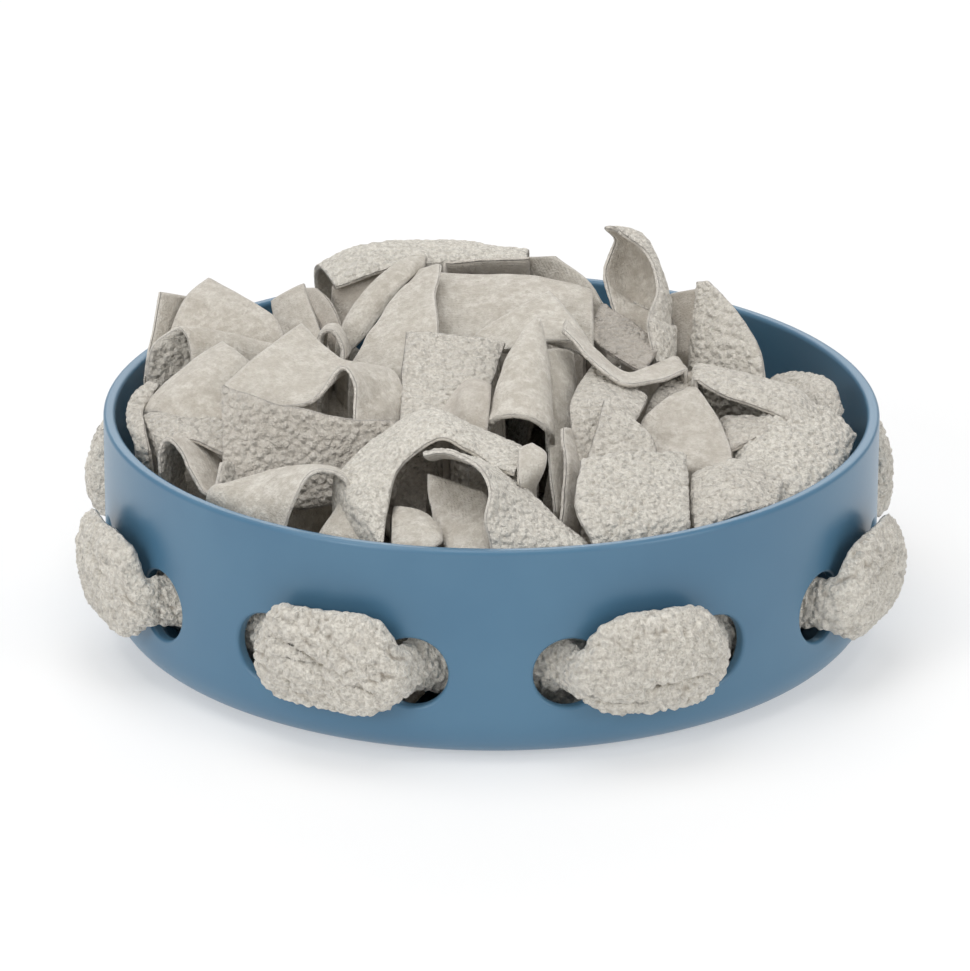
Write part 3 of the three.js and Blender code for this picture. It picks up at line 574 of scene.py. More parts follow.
# A strip of the nest: its root on the bowl's floor, then rows of the middle of the line across
# (x, y, z), the line's heading in plan and its slope in degrees, half the flat width, the curl.
STRIP_ROWS = {
    "trough_front": ((-6, -121), [
        (-7, -123, 72, -16, 5, 7, 20),
        (-10, -110, 76, -22, 3, 10, 20),
        (-11, -97, 79, -22, -3, 11, 10),
        (-12, -88, 84, -23, -11, 11, 0),
    ]),
    "arch_front": (BELOW, [
        (16, -122, 62, 14, 0, 17, 0),
        (17, -120, 73, 18, -5, 18, 0),
        (11, -112, 80, 33, -14, 16, 0),
        (7, -103, 86, 55, -20, 14, 0),
        (1, -94, 91, 67, -24, 15, 0),
        (-8, -89, 94, 71, -24, 15, 0),
        (-16, -87, 95, 80, -23, 14, 0),
        (-22, -87, 94, 82, -23, 12, 0),
    ]),
    "square_front": (BELOW, [
        (52, -111, 60, 23, 0, 18, 10),
        (52, -111, 74, 21, 1, 18, 10),
        (49, -99, 81, 22, -4, 21, 15),
        (50, -72, 88, 27, -7, 21, 15),
    ]),
    "low_right": (BELOW, [
        (72, -87, 78, -90, -13, 18, 20),
        (79, -84, 79, -90, -11, 19, 40),
        (88, -80, 80, -90, -9, 18, 40),
        (101, -80, 77, -98, -2, 10, 20),
    ]),
    "big_right": ((90, -58), [
        (92, -61, 76, -77, -5, 26, 30),
        (106, -45, 79, -67, -15, 24, 30),
        (117, -28, 79, -64, -20, 18, 30),
        (124, -12, 78, -26, -27, 8, 20),
    ]),
    "saddle": (BELOW, [
        (-46, -102, 80, -63, -18, 20, 15),
        (-41, -88, 85, -73, -16, 18, 30),
        (-33, -72, 91, -85, -4, 17, 45),
        (-21, -64, 96, -82, 5, 17, 50),
        (-10, -67, 94, -84, 1, 15, 40),
        (2, -73, 90, -93, 0, 15, 30),
        (11, -78, 88, -103, 3, 14, 20),
    ]),
    "arch_front_left": ((-84, -88), [
        (-87, -94, 65, 136, -3, 17, 0),
        (-85, -93, 77, 140, 5, 18, 0),
        (-79, -90, 83, 135, -8, 17, 0),
        (-70, -86, 87, 119, -15, 14, 0),
        (-61, -84, 88, 105, -17, 12, 0),
        (-52, -82, 85, 92, -17, 12, 0),
        (-47, -82, 77, 83, -19, 11, 0),
    ]),
    "flap_front_low": ((-34, -106), [
        (-33, -109, 76, -89, -14, 13, 20),
        (-26, -111, 76, -89, -10, 13, 30),
        (-21, -114, 76, -88, -12, 10, 20),
        (-17, -116, 75, -92, -18, 3, 10),
    ]),
    "saddle_under": (BELOW, [
        (-51, -107, 71, -18, -4, 9, 20),
        (-50, -98, 76, -22, -6, 5, 20),
        (-51, -91, 79, -40, 0, 2, 10),
    ]),
    "curl_small": (BELOW, [
        (13, -88, 82, 48, 5, 4, 0),
        (14, -89, 88, 48, 8, 7, 10),
        (14, -83, 92, 46, -2, 7, 20),
        (12, -77, 94, 50, 0, 4, 10),
    ]),
    "flap_front_left": ((-24, -56), [
        (-18, -69, 77, 95, 63, 11, 0),
        (-30, -60, 80, 92, 64, 14, -10),
        (-50, -59, 81, 91, 65, 15, -20),
        (-71, -58, 82, 91, 63, 18, -25),
        (-86, -55, 85, 92, 55, 19, 0),
        (-95, -49, 90, 91, 45, 16, 10),
    ]),
    "fold_rim_left": ((-106, -40), [
        (-114, -46, 71, 64, -17, 9, 0),
        (-112, -43, 79, 58, -15, 11, 0),
        (-108, -44, 83, 51, -19, 11, 0),
        (-103, -49, 80, 43, -21, 10, 0),
        (-100, -58, 76, 42, -20, 8, 0),
        (-96, -68, 72, 46, -23, 8, 0),
        (-92, -67, 75, 50, -14, 8, 0),
        (-92, -60, 81, 62, -20, 6, 0),
    ]),
    "tip_flap": (BELOW, [
        (73, -62, 79, 0, 0, 12, 10),
        (68, -38, 85, 0, -3, 15, 20),
        (69, -25, 91, 7, -3, 8, 20),
        (72, -16, 93, 17, -6, 2, 10),
    ]),
    "triangle": (BELOW, [
        (46, -66, 80, 2, 1, 14, 20),
        (46, -54, 90, 8, -5, 9, 30),
        (41, -42, 98, 0, 0, 1, 10),
    ]),
    "bent": ((36, -58), [
        (39, -66, 78, 0, -6, 10, 0),
        (39, -52, 86, -16, -11, 11, 0),
        (39, -39, 91, -32, -11, 13, 20),
        (46, -12, 93, -39, -14, 13, 10),
    ]),
    "pleat_b": (BELOW, [
        (27, -92, 69, 67, -34, 8, 20),
        (28, -68, 82, 73, -21, 9, 40),
        (27, -50, 90, 74, -24, 7, 30),
    ]),
    "cone": (None, [
        (9, -46, 83, 0, -19, 22, 205),
        (11, -24, 96, 13, -13, 15, 190),
        (14, -6, 105, 17, -16, 8, 160),
        (16, 4, 111, 28, -10, 1, 60),
    ]),
    "pleat_a": ((23, -44), [
        (24, -75, 69, 72, -13, 5, 30),
        (24, -50, 75, 72, -20, 12, 60),
        (24, -24, 83, 71, -16, 14, 80),
        (24, -6, 90, 65, -18, 13, 80),
        (24, 6, 98, 52, -20, 9, 60),
    ]),
    "peak_flap": ((-38, -40), [
        (-40, -46, 87, 51, -5, 13, 0),
        (-40, -35, 94, 54, -4, 14, 0),
        (-42, -26, 100, 61, -9, 14, 0),
        (-49, -21, 102, 67, -15, 12, 10),
        (-59, -25, 98, 74, 5, 18, 20),
        (-71, -20, 99, 60, 12, 21, 20),
        (-82, -10, 103, 54, 12, 23, 10),
    ]),
    "fold_left_low": ((-112, -28), [
        (-120, -31, 82, -71, -11, 10, 30),
        (-108, -35, 84, -80, -6, 10, 20),
        (-97, -42, 84, -84, -15, 10, 10),
        (-90, -47, 83, -84, -15, 9, 0),
    ]),
    "left_outer": ((-114, -26), [
        (-124, -38, 78, -51, 1, 4, 20),
        (-127, -28, 83, -52, 8, 5, 30),
        (-127, -15, 86, -55, -15, 4, 20),
        (-122, -1, 87, -35, 4, 3, 10),
    ]),
    "shade_strip": (BELOW, [
        (-29, -80, 68, 0, 0, 6, 0),
        (-27, -72, 77, 0, 5, 5, 0),
        (-23, -61, 84, 0, 16, 5, 0),
    ]),
    "grey_fold": ((-16, -44), [
        (-17, -48, 88, -67, -6, 7, 0),
        (-11, -40, 91, -86, -14, 16, 40),
        (-7, -36, 93, -90, -12, 19, 60),
        (-1, -38, 92, -92, -12, 18, 60),
    ]),
    "square": ((-20, -36), [
        (-20, -44, 88, -2, -1, 12, 10),
        (-16, -16, 95, -2, -1, 16, 15),
        (-13, 7, 103, -3, -5, 18, 10),
    ]),
    "mouth_piece": (BELOW, [
        (84, -34, 82, -85, -7, 12, 10),
        (92, -32, 83, -85, -2, 10, 20),
        (99, -32, 84, -94, 5, 7, 10),
    ]),
    "behind_tip": ((58, -24), [
        (63, -31, 78, 14, 4, 12, 20),
        (66, -15, 86, 12, 0, 10, 20),
        (69, 1, 91, 11, 5, 5, 10),
    ]),
    "wavy": ((68, 10), [
        (68, 2, 95, -80, 5, 9, 0),
        (57, -8, 95, -89, 1, 8, 0),
        (47, -15, 96, -97, 6, 7, 0),
        (36, -7, 102, -94, 4, 7, 0),
        (26, 7, 108, -94, 7, 7, 0),
    ]),
    "long_right": ((76, 2), [
        (74, 0, 92, -93, 11, 12, 40),
        (84, -6, 90, -97, 4, 14, 70),
        (95, -11, 88, -97, 4, 15, 80),
        (106, -16, 86, -102, 0, 14, 70),
        (114, -23, 82, -110, -4, 11, 40),
    ]),
    "flap_left_mid": ((-68, -44), [
        (-63, -49, 66, 41, 0, 20, 20),
        (-99, -17, 90, 42, 16, 19, 50),
        (-112, -2, 91, 42, 23, 22, 20),
    ]),
    "small_arch": (BELOW, [
        (-62, 32, 91, 86, -4, 10, 0),
        (-61, 33, 96, 83, -11, 9, 0),
        (-57, 32, 97, 84, -14, 8, 0),
        (-54, 29, 93, 86, -14, 9, 0),
        (-53, 22, 90, 81, -10, 8, 0),
    ]),
    "roll_left": ((-105, 22), [
        (-115, 20, 80, 11, -19, 11, 0),
        (-110, 22, 90, 15, -17, 14, 0),
        (-103, 24, 95, 13, -17, 16, 0),
        (-96, 24, 97, 13, -16, 19, 0),
        (-93, 20, 96, 8, -13, 18, 0),
        (-92, 14, 91, 0, -8, 17, 0),
        (-93, 9, 86, -4, -7, 16, 0),
    ]),
    "flap_left_peak": ((-96, 34), [
        (-102, 30, 79, -25, -9, 21, 20),
        (-95, 45, 94, -25, -16, 21, 20),
        (-92, 58, 99, -35, -17, 16, 10),
    ]),
    "leaf_far_left": ((-110, 46), [
        (-121, 41, 72, 48, -23, 10, 20),
        (-119, 46, 83, 48, -14, 10, 20),
        (-116, 57, 101, 48, -22, 9, 10),
    ]),
    "back_left_strip": (BELOW, [
        (-68, 44, 81, 0, 18, 9, 0),
        (-72, 62, 86, 0, 20, 8, 10),
        (-76, 84, 92, 0, 30, 7, 10),
    ]),
    "back_left_shade": (BELOW, [
        (-58, 57, 85, -32, 2, 5, 0),
        (-63, 69, 93, -43, 18, 5, 0),
        (-67, 78, 96, -48, 16, 3, 0),
    ]),
    "long_tube": (BELOW, [
        (-54, 44, 85, -73, 8, 7, 90),
        (-49, 52, 91, -70, -2, 10, 110),
        (-41, 62, 99, -74, -7, 10, 110),
        (-32, 72, 105, -79, -9, 7, 100),
        (-25, 79, 106, -100, -12, 4, 90),
    ]),
    "wide_flap": ((-42, 8), [
        (-40, 6, 90, -35, 5, 14, 20),
        (-32, 27, 97, -32, 10, 14, 20),
        (-28, 49, 104, -35, 13, 9, 20),
        (-23, 68, 108, -45, 27, 6, 20),
    ]),
    "diagonal": ((4, 22), [
        (-2, 17, 97, -57, -2, 8, 0),
        (13, 21, 102, -65, -3, 14, 20),
        (28, 29, 103, -64, -15, 17, 20),
    ]),
    "centre_face": ((-24, 52), [
        (-25, 55, 97, -89, -17, 21, 10),
        (-8, 52, 98, -90, -15, 21, 20),
        (10, 49, 100, -90, -12, 20, 20),
        (28, 44, 97.5, -86, -13, 22, 30),
        (37, 38, 96, -90, -13, 23, 40),
    ]),
    "mauve_end": (BELOW, [
        (38, 41, 98, -112, -14, 10, 10),
        (42, 33, 97, -112, -14, 10, 10),
        (48, 21, 97, -115, -11, 11, 10),
        (58, 7, 94, -111, -13, 9, 10),
    ]),
    "fin": (BELOW, [
        (54, 20, 91, 114, 10, 21, 150),
        (50, 35, 103, 113, -2, 26, 180),
        (51, 48, 111, 127, -3, 25, 188),
        (51, 60, 119, 132, 0, 13, 185),
        (44, 63, 125, 142, 1, 3, 60),
    ]),
    "right_peak": (BELOW, [
        (86, 18, 83, -36, 4, 17, 10),
        (85, 27, 94, -38, 8, 15, 20),
        (82, 38, 102, -39, 11, 10, 20),
        (78, 52, 108, -46, 18, 3, 10),
    ]),
    "right_peak_back": (BELOW, [
        (70, 35, 87, -37, 4, 9, 20),
        (71, 48, 95, -44, 4, 9, 20),
        (72, 58, 102, -34, 20, 7, 20),
    ]),
    "round_back_right": (BELOW, [
        (104, 27, 77, -92, 8, 15, 30),
        (112, 22, 79, -92, 4, 17, 40),
        (120, 10, 80, -95, 3, 15, 40),
        (124, -7, 76, -103, 2, 9, 30),
    ]),
    "back_shade_left": (BELOW, [
        (-57, 72, 90, -71, -51, 9, -10),
        (-45, 77, 96, -84, -38, 6, 0),
        (-32, 81, 101, -89, -33, 3, 0),
    ]),
    "back_shade_right": (BELOW, [
        (-17, 82, 100, 84, -61, 7, 0),
        (-3, 84, 100, 90, -58, 8, 0),
        (14, 82, 101, 87, -59, 9, 0),
    ]),
    "back_roll": (None, [
        (-61, 90, 86, -80, 34, 27, 130),
        (-45, 96, 89, -75, 36, 29, 130),
        (-21, 100, 91.5, -78, 36, 27, 115),
        (-4, 100, 91.5, -87, 36, 26, 115),
        (13, 97, 92, -91, 37, 25, 90),
    ]),
    "back_peak": (BELOW, [
        (25.4, 92.4, 86, -28, 6, 18, 10),
        (22.4, 99.4, 93, -28, 6, 15, 20),
        (18.2, 105, 99, -31, 13, 7, 20),
    ]),
    "low_back_right": (None, [
        (54, 86, 14, -121, 0, 19, 0),
        (63, 77, 44, -128, 3, 20, 0),
        (74, 63, 55, -136, 0, 20, 0),
        (86, 49, 47, -147, 3, 19, 0),
        (95, 36, 14, -157, 0, 17, 0),
    ]),
    "low_back_left": (None, [
        (-101, 37, 14, -22, 0, 18, 0),
        (-88, 57, 47, -29, 3, 18, 0),
        (-71, 75, 58, -45, 0, 18, 0),
        (-51, 88, 48, -66, 0, 17, 0),
        (-32, 95, 14, -77, 0, 17, 0),
    ]),
}

# Looks of each strip of the nest without its seed: pile, tone, roll, crumple, lush. A tone above 0
# darkens the strip, partly to its own greyer colour and partly as painted shade where it lies in
# shade; a tone below 0 is painted light on lit tops
STRIP_LOOKS = {
    "trough_front": (-1, 0.1, 0, 0.5, 0.3),
    "arch_front": (1, 0.0, 0, 0.6, 0.4),
    "square_front": (1, 0.0, 14, 0.6, 0.9),
    "low_right": (1, 0.15, 10, 0.8, 0.8),
    "big_right": (1, 0.0, 14, 0.9, 0.9),
    "saddle": (1, 0.0, 0, 0.8, 0.3),
    "arch_front_left": (1, 0.0, 0, 0.6, 0.3),
    "flap_front_low": (-1, 0.05, 0, 0.7, 0.3),
    "saddle_under": (-1, 0.0, 0, 0.5, 0.3),
    "curl_small": (-1, 0.05, 0, 0.4, 0.3),
    "flap_front_left": (1, 0.35, 6, 0.9, 0.3),
    "fold_rim_left": (1, 0.2, 0, 0.4, 0.3),
    "tip_flap": (-1, 0.2, 0, 0.6, 0.3),
    "triangle": (1, 0.15, 0, 0.6, 0.3),
    "bent": (1, 0.2, 0, 0.7, 0.3),
    "pleat_b": (-1, 0.15, 0, 0.5, 0.3),
    "cone": (-1, -0.2, 0, 0.5, 0.3),
    "pleat_a": (-1, -0.05, 0, 0.5, 0.3),
    "peak_flap": (-1, 0.1, 0, 0.8, 0.3),
    "fold_left_low": (1, 0.25, 0, 0.6, 0.3),
    "left_outer": (1, 0.2, 0, 0.6, 0.6),
    "shade_strip": (1, 0.5, 0, 0.4, 0.3),
    "grey_fold": (-1, 0.3, 0, 0.5, 0.3),
    "square": (1, 0.15, 6, 0.8, 0.45),
    "mouth_piece": (1, 0.3, 0, 0.5, 0.6),
    "behind_tip": (1, 0.3, 0, 0.6, 0.3),
    "wavy": (1, 0.1, 0, 0.5, 0.3),
    "long_right": (1, 0.15, 0, 0.7, 0.3),
    "flap_left_mid": (-1, 0.1, 0, 0.8, 0.3),
    "small_arch": (1, 0.15, 0, 0.4, 0.3),
    "roll_left": (1, 0.1, 0, 0.6, 0.3),
    "flap_left_peak": (-1, 0.15, 0, 0.8, 0.3),
    "leaf_far_left": (-1, 0.1, 0, 0.5, 0.3),
    "back_left_strip": (-1, 0.2, 0, 0.5, 0.3),
    "back_left_shade": (-1, 0.4, 0, 0.4, 0.3),
    "long_tube": (-1, 0.05, 0, 0.4, 0.3),
    "wide_flap": (-1, 0.05, 0, 0.8, 0.3),
    "diagonal": (-1, 0.0, 0, 0.6, 0.3),
    "centre_face": (-1, 0.1, 0, 0.9, 0.3),
    "mauve_end": (1, 0.6, 0, 0.5, 0.3),
    "fin": (1, 0.15, 0, 0.6, 0.35),
    "right_peak": (1, 0.1, 8, 0.7, 0.6),
    "right_peak_back": (-1, 0.3, 0, 0.5, 0.3),
    "round_back_right": (1, 0.15, 8, 0.8, 0.7),
    "back_shade_left": (-1, 0.4, 0, 0.4, 0.3),
    "back_shade_right": (-1, 0.3, 0, 0.4, 0.3),
    "back_roll": (1, 0.0, 0, 0.9, 0.5),
    "back_peak": (-1, 0.1, 0, 0.5, 0.3),
    "low_back_right": (1, 0.3, 0, 0.8, 0.3),
    "low_back_left": (1, 0.3, 0, 0.8, 0.3),
}

# Spacing of a strip's points in millimetres
PILE_SPACING = 1.05
SMOOTH_SPACING = 1.4
ROOT_SPACING = 3.5


def make_strips(material):
    """The strips that the photograph shows, each from its root up to its last row."""
    for number, (name, (root, rows)) in enumerate(STRIP_ROWS.items(), 1):
        looks = Looks(*STRIP_LOOKS[name], number)
        edges, hidden = with_root(section_edges(rows), rows, root)
        spacing = PILE_SPACING if looks.pile > 0 else SMOOTH_SPACING
        edges, place = even_rows(edges, hidden, spacing, ROOT_SPACING)
        piece, flat, area = fleece_strip(f"strip_{name}", edges, place, looks, spacing, material)
        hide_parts(name)


def rootless_strip(name, rows, looks, spacing, material):
    """A strip that has no hidden root, from its rows of sections."""
    edges = smooth_curve(section_edges(rows), CURVE_STEPS)
    edges, place = even_rows(edges, 0, spacing, spacing)
    return fleece_strip(name, edges, place, looks, spacing, material)


# Strips that lie on the bowl's floor under the others, side by side from the front to the back
LAID_COUNT = 11
LAID_STATIONS = 9
LAID_HALF = 13.0
LAID_REACH = 119.0
LAID_SPREAD = 0.9
LAID_SHORT = 4.0
LAID_HEIGHT = 7.5
LAID_OVERLAP = 2.0
LAID_SPACING = 2.2
# Their tone darkens them as painted shade, for they lie deep under the others
LAID_LOOKS = Looks(pile=-1, tone=0.35, roll=0, crumple=0.6, lush=0.7, seed=80)
# Waves along a laid strip: height, length over a full turn's radians, start from strip to strip
LAID_SWAY = (4, 31, 2.1)
LAID_LIFT = (2.4, 17, 1.7)
LAID_SLOPE = (6, 23, 1)
LAID_CURL = (20, 29, 1)
LAID_LEAST_CURL = 25


def make_laid_strips(material):
    """Each runs from one side of the floor to the other in slow waves: its middle is at an even
    step of y, and its sway, height, slope and curl are sines along x."""
    for k in range(LAID_COUNT):
        y = LAID_REACH * LAID_SPREAD * (2 * k / (LAID_COUNT - 1) - 1)
        end = math.sqrt(LAID_REACH ** 2 - y * y) - LAID_SHORT
        x = np.linspace(-end, end, LAID_STATIONS)
        sway, lift, slope, curl = (height * np.sin(x / length + start * k)
                                   for height, length, start in
                                   (LAID_SWAY, LAID_LIFT, LAID_SLOPE, LAID_CURL))
        level = np.ones(LAID_STATIONS)
        rows = np.stack([x, y + sway, LAID_HEIGHT + LAID_OVERLAP * (k % 2) + lift, 90 * level,
                         slope, LAID_HALF * level, LAID_LEAST_CURL + curl], 1)
        looks = LAID_LOOKS._replace(seed=LAID_LOOKS.seed + k)
        piece, flat, area = rootless_strip(
            f"laid_strip_{k + 1}", rows, looks, LAID_SPACING, material)


# Strips tucked between the others, low in the nest. Each is an arch: its middle in plan, the
# direction it runs in degrees, its span, the height of its top and half its flat width.
TUCKED_ROWS = [
    (62, 98, 150, 62, 62, 16),
    (98, 68, 122, 56, 60, 16),
    (113, 38, 100, 44, 56, 12),
    (34, 86, 175, 60, 68, 16),
    (6, 68, 8, 62, 72, 15),
    (-14, 112, 4, 60, 58, 12),
    (-58, 100, 28, 56, 64, 15),
    (-92, 74, 48, 60, 66, 16),
    (-60, 46, 78, 52, 68, 14),
    (-14, 26, 0, 60, 72, 15),
    (44, 14, 34, 56, 66, 14),
    (72, 40, 112, 52, 62, 14),
    (-112, 14, 84, 46, 60, 12),
    (-78, -2, 18, 56, 66, 14),
    (-46, -54, 12, 58, 60, 14),
    (-46, -100, 158, 46, 52, 12),
    (-92, -72, 132, 48, 54, 12),
    (-2, -22, 96, 56, 66, 14),
    (26, -92, 70, 44, 54, 11),
    (40, -34, 82, 54, 62, 13),
    (72, -62, 24, 52, 58, 13),
    (98, -16, 86, 50, 64, 13),
    (54, -108, 20, 44, 50, 11),
    (12, 92, 172, 58, 80, 15),
    (48, 62, 20, 58, 80, 15),
    (86, 50, 130, 48, 76, 13),
    (-28, 70, 170, 58, 80, 15),
    (-70, 60, 30, 54, 78, 14),
    (-36, 102, 12, 48, 70, 13),
    (76, 82, 140, 44, 72, 13),
    (-98, 30, 100, 44, 72, 12),
]
TUCKED_STATIONS = 7
TUCKED_SPACING = 1.9
TUCKED_REACH = 126.0
TUCKED_KEPT_IN = 0.8
TUCKED_FOOT = ROOT_HEIGHT + 4
TUCKED_FLATNESS = 0.6
# Their tone darkens them as painted shade, for they lie low between the others
TUCKED_LOOKS = Looks(pile=1, tone=0.25, roll=0, crumple=1.0, lush=0.5, seed=100)
# Waves along a tucked strip: height, radians over its length, start from strip to strip
TUCKED_SWAY = (4, 3, 1.3)
TUCKED_TWIST = (14, 5, 1)
TUCKED_SLOPE = (9, 4, 2)
TUCKED_CURL = (25, 3, 1)
TUCKED_LEAST_CURL = 40


def make_tucked_strips(material):
    """Each arch rises from the floor, turns over at its top and comes down again: its height is
    a flattened half sine of the way along, and it sways to one side as it goes. Every other one
    has its pile on the inner face."""
    for k, (x, y, direction, span, top, half) in enumerate(TUCKED_ROWS):
        way = np.linspace(0, 1, TUCKED_STATIONS)
        sway, twist, slope, curl = (height * np.sin(turn * way + start * k)
                                    for height, turn, start in
                                    (TUCKED_SWAY, TUCKED_TWIST, TUCKED_SLOPE, TUCKED_CURL))
        run = math.radians(direction)
        forward = span * (way - 0.5)
        px = x + forward * math.cos(run) - sway * math.sin(run)
        py = y + forward * math.sin(run) + sway * math.cos(run)
        reach = TUCKED_REACH - half * TUCKED_KEPT_IN
        inward = np.minimum(1, reach / np.maximum(np.hypot(px, py), 1))
        height = TUCKED_FOOT + (top - TUCKED_FOOT) * np.sin(np.pi * way) ** TUCKED_FLATNESS
        rows = np.stack([px * inward, py * inward, height, direction + 90 + twist, slope,
                         np.full(TUCKED_STATIONS, float(half)), TUCKED_LEAST_CURL + curl], 1)
        looks = TUCKED_LOOKS._replace(pile=1 - 2 * (k % 2), seed=TUCKED_LOOKS.seed + k)
        piece, flat, area = rootless_strip(
            f"tucked_strip_{k + 1}", rows, looks, TUCKED_SPACING, material)


# Loops: turn from the post's middle in degrees, reach out from the wall's outer face, half the
# flat width, curl and share of the lift over the holes' middles, from the post's middle to the
# end behind the next post.
LOOP_COUNT = 8
LOOP_LIFT = 4.5
LOOP_ROWS = [
    (0, 9, 19.5, 55, 1),
    (4.5, 8.6, 19.5, 58, 1),
    (7.6, 6.6, 17.5, 75, 0.75),
    (9.4, 4, 11, 105, 0.2),
    (9.8, -3, 10.5, 120, 0),
    (11.2, -9.5, 11, 120, 0),
    (15.5, -14.5, 14, 90, 0),
    (21.9, -15, 16, 70, 0),
]
LOOP_SPACING = 1.0
LOOP_LOOKS = Looks(pile=1, tone=0.0, roll=40, crumple=1.0, lush=1.15, seed=60)
CREASE_FADE = 5.0

# Creases in the loops: loop, where it starts and ends along and across the loop in
# millimetres from its middle, its depth and its half width
LOOP_CREASES = [
    (8, -16, 8, 3, -1, 2.6, 2.2),
    (8, 10, -6, 19, -9, 2.0, 1.8),
    (8, -14, 1, 0, -2, 1.8, 1.6),
    (1, -6, -8, 17, -6, 2.6, 1.8),
    (1, -19, -12, -4, -14, 1.8, 1.8),
    (7, -4, 10, 10, 4, 2.4, 2.0),
    (2, -12, 4, 6, 7, 2.2, 2.0),
    (3, -14, -2, 8, 3, 2.4, 2.0),
    (4, -10, 6, 12, -3, 2.4, 2.0),
    (5, -15, -5, 5, 1, 2.4, 2.0),
    (6, -8, -3, 14, 5, 2.4, 2.0),
]


def round_bowl(turn, radius, height):
    """Points at a turn in degrees from the front, anticlockwise from above, round the Z axis."""
    turn = np.radians(turn)
    return np.stack([radius * np.sin(turn), -radius * np.cos(turn), height], -1)


def loop_edges(post):
    """Upper and lower edge points of a loop from one end to the other, past the middle of a post
    at the given turn, where its rows are mirrored."""
    mirrored = [(-turn, *rest) for turn, *rest in LOOP_ROWS[:0:-1]]
    rows = np.array(mirrored + LOOP_ROWS, float)
    turn, reach, half, curl, lift = rows.T
    z = HOLE_HEIGHT + lift * LOOP_LIFT
    bend = np.radians(curl) / 2
    chord = half * np.sinc(bend / np.pi)
    return np.hstack([round_bowl(post + turn, BOWL_RADIUS + reach, z + chord),
                      round_bowl(post + turn, BOWL_RADIUS + reach, z - chord), curl[:, None]])


def loop_creases(number, middle):
    """A function that presses the creases of one loop into its surface: each is a straight line
    on the flat cloth, with a rounded groove across it that fades out at its ends."""
    def press(surface, upward, across, length):
        depth = np.zeros(across.shape)
        for loop, x0, y0, x1, y1, deep, wide in LOOP_CREASES:
            if loop != number:
                continue
            run = math.hypot(x1 - x0, y1 - y0)
            dx, dy = (x1 - x0) / run, (y1 - y0) / run
            x, y = length - middle - x0, -across - y0
            forward = x * dx + y * dy
            aside = x * dy - y * dx
            fade = np.clip(np.minimum(forward, run - forward) / CREASE_FADE + 0.5, 0, 1)
            depth += deep * fade * np.exp(-(aside / wide) ** 2)
        return surface - upward * depth[..., None]
    return press


def make_loops(material):
    """The loops round the wall, one over every other post, and the holes beside it."""
    for number in range(1, LOOP_COUNT + 1):
        edges = smooth_curve(loop_edges(HOLE_PITCH * (2 * number - 1)), CURVE_STEPS)
        edges, place = even_rows(edges, 0, LOOP_SPACING, LOOP_SPACING)
        looks = LOOP_LOOKS._replace(seed=LOOP_LOOKS.seed + number)
        press = loop_creases(number, place[-1] / 2)
        piece, flat, area = fleece_strip(
            f"woven_loop_{number}", edges, place, looks, LOOP_SPACING, material, press)
        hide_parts(f"loop_{number}")


# Materials

class Value:
    """A socket of a material's nodes. Each sum or product with it adds a Math node."""

    def __init__(self, paint, socket):
        self.paint = paint
        self.socket = socket

    def math(self, operation, *others):
        return self.paint.node("ShaderNodeMath", {"operation": operation},
                               dict(enumerate((self, *others))))

    def __add__(self, other):
        return self.math("ADD", other)

    def __sub__(self, other):
        return self.math("SUBTRACT", other)

    def __mul__(self, other):
        return self.math("MULTIPLY", other)

    def __rsub__(self, other):
        return self.paint.node("ShaderNodeMath", {"operation": "SUBTRACT"}, {0: other, 1: self})

    __radd__ = __add__
    __rmul__ = __mul__


class Paint:
    """Builds one material's nodes."""

    def __init__(self, name):
        self.material = bpy.data.materials.new(name)
        self.material.use_nodes = True
        self.nodes = self.material.node_tree.nodes
        self.links = self.material.node_tree.links
        self.nodes.clear()

    def node(self, kind, settings=None, inputs=None, output=0):
        """Adds a node: its settings first, then a value or a link for each socket named."""
        node = self.nodes.new(kind)
        for key, value in (settings or {}).items():
            setattr(node, key, value)
        named = {socket.identifier: socket for socket in node.inputs}
        named.update({socket.name: socket for socket in reversed(node.inputs) if socket.enabled})
        for key, value in (inputs or {}).items():
            socket = node.inputs[key] if isinstance(key, int) else named[key]
            if isinstance(value, Value):
                self.links.new(value.socket, socket)
            else:
                socket.default_value = value
        if output is None:
            return None
        given = {socket.identifier: socket for socket in node.outputs}
        return Value(self, node.outputs[output] if isinstance(output, int) else given[output])

    def place(self):
        """Object coordinates: places on the piece, in metres."""
        return self.node("ShaderNodeTexCoord", output="Object")

    def attribute(self, name):
        """A vector attribute that the piece's mesh carries."""
        return self.node("ShaderNodeAttribute", {"attribute_name": name}, {}, "Vector")

    def parts(self, vector):
        """The three numbers of a vector."""
        first = self.node("ShaderNodeSeparateXYZ", {}, {"Vector": vector})
        return [Value(self, socket) for socket in first.socket.node.outputs]

    def noise(self, vector, scale, detail=2.0, roughness=0.5):
        return self.node("ShaderNodeTexNoise", {}, {
            "Vector": vector, "Scale": scale, "Detail": detail, "Roughness": roughness})

    def step(self, value, low, high, below=0.0, above=1.0):
        """A smooth step from one number to another while the value goes from low to high."""
        return self.node("ShaderNodeMapRange", {"interpolation_type": "SMOOTHSTEP"}, {
            "Value": value, "From Min": low, "From Max": high, "To Min": below, "To Max": above})

    def mix(self, part, first, second):
        """The first colour, with this part of the second in it."""
        return self.node("ShaderNodeMix", {"data_type": "RGBA"}, {
            "Factor_Float": part, "A_Color": first, "B_Color": second}, "Result_Color")

    def darkened(self, base, pattern, low, high, most, dark):
        """Colour mixed with a darker one where a pattern is low, up to the part called most."""
        return self.mix(self.step(pattern, low, high, most, 0.0), base, dark)

    def finish(self, shader):
        """Links the shader to the material's output."""
        self.node("ShaderNodeOutputMaterial", {}, {"Surface": shader}, None)
        return self.material


def colour(red, green, blue):
    """Linear colour from the 0 to 255 values that a screen shows."""
    return (*(((v / 255 + 0.055) / 1.055) ** 2.4 for v in (red, green, blue)), 1.0)


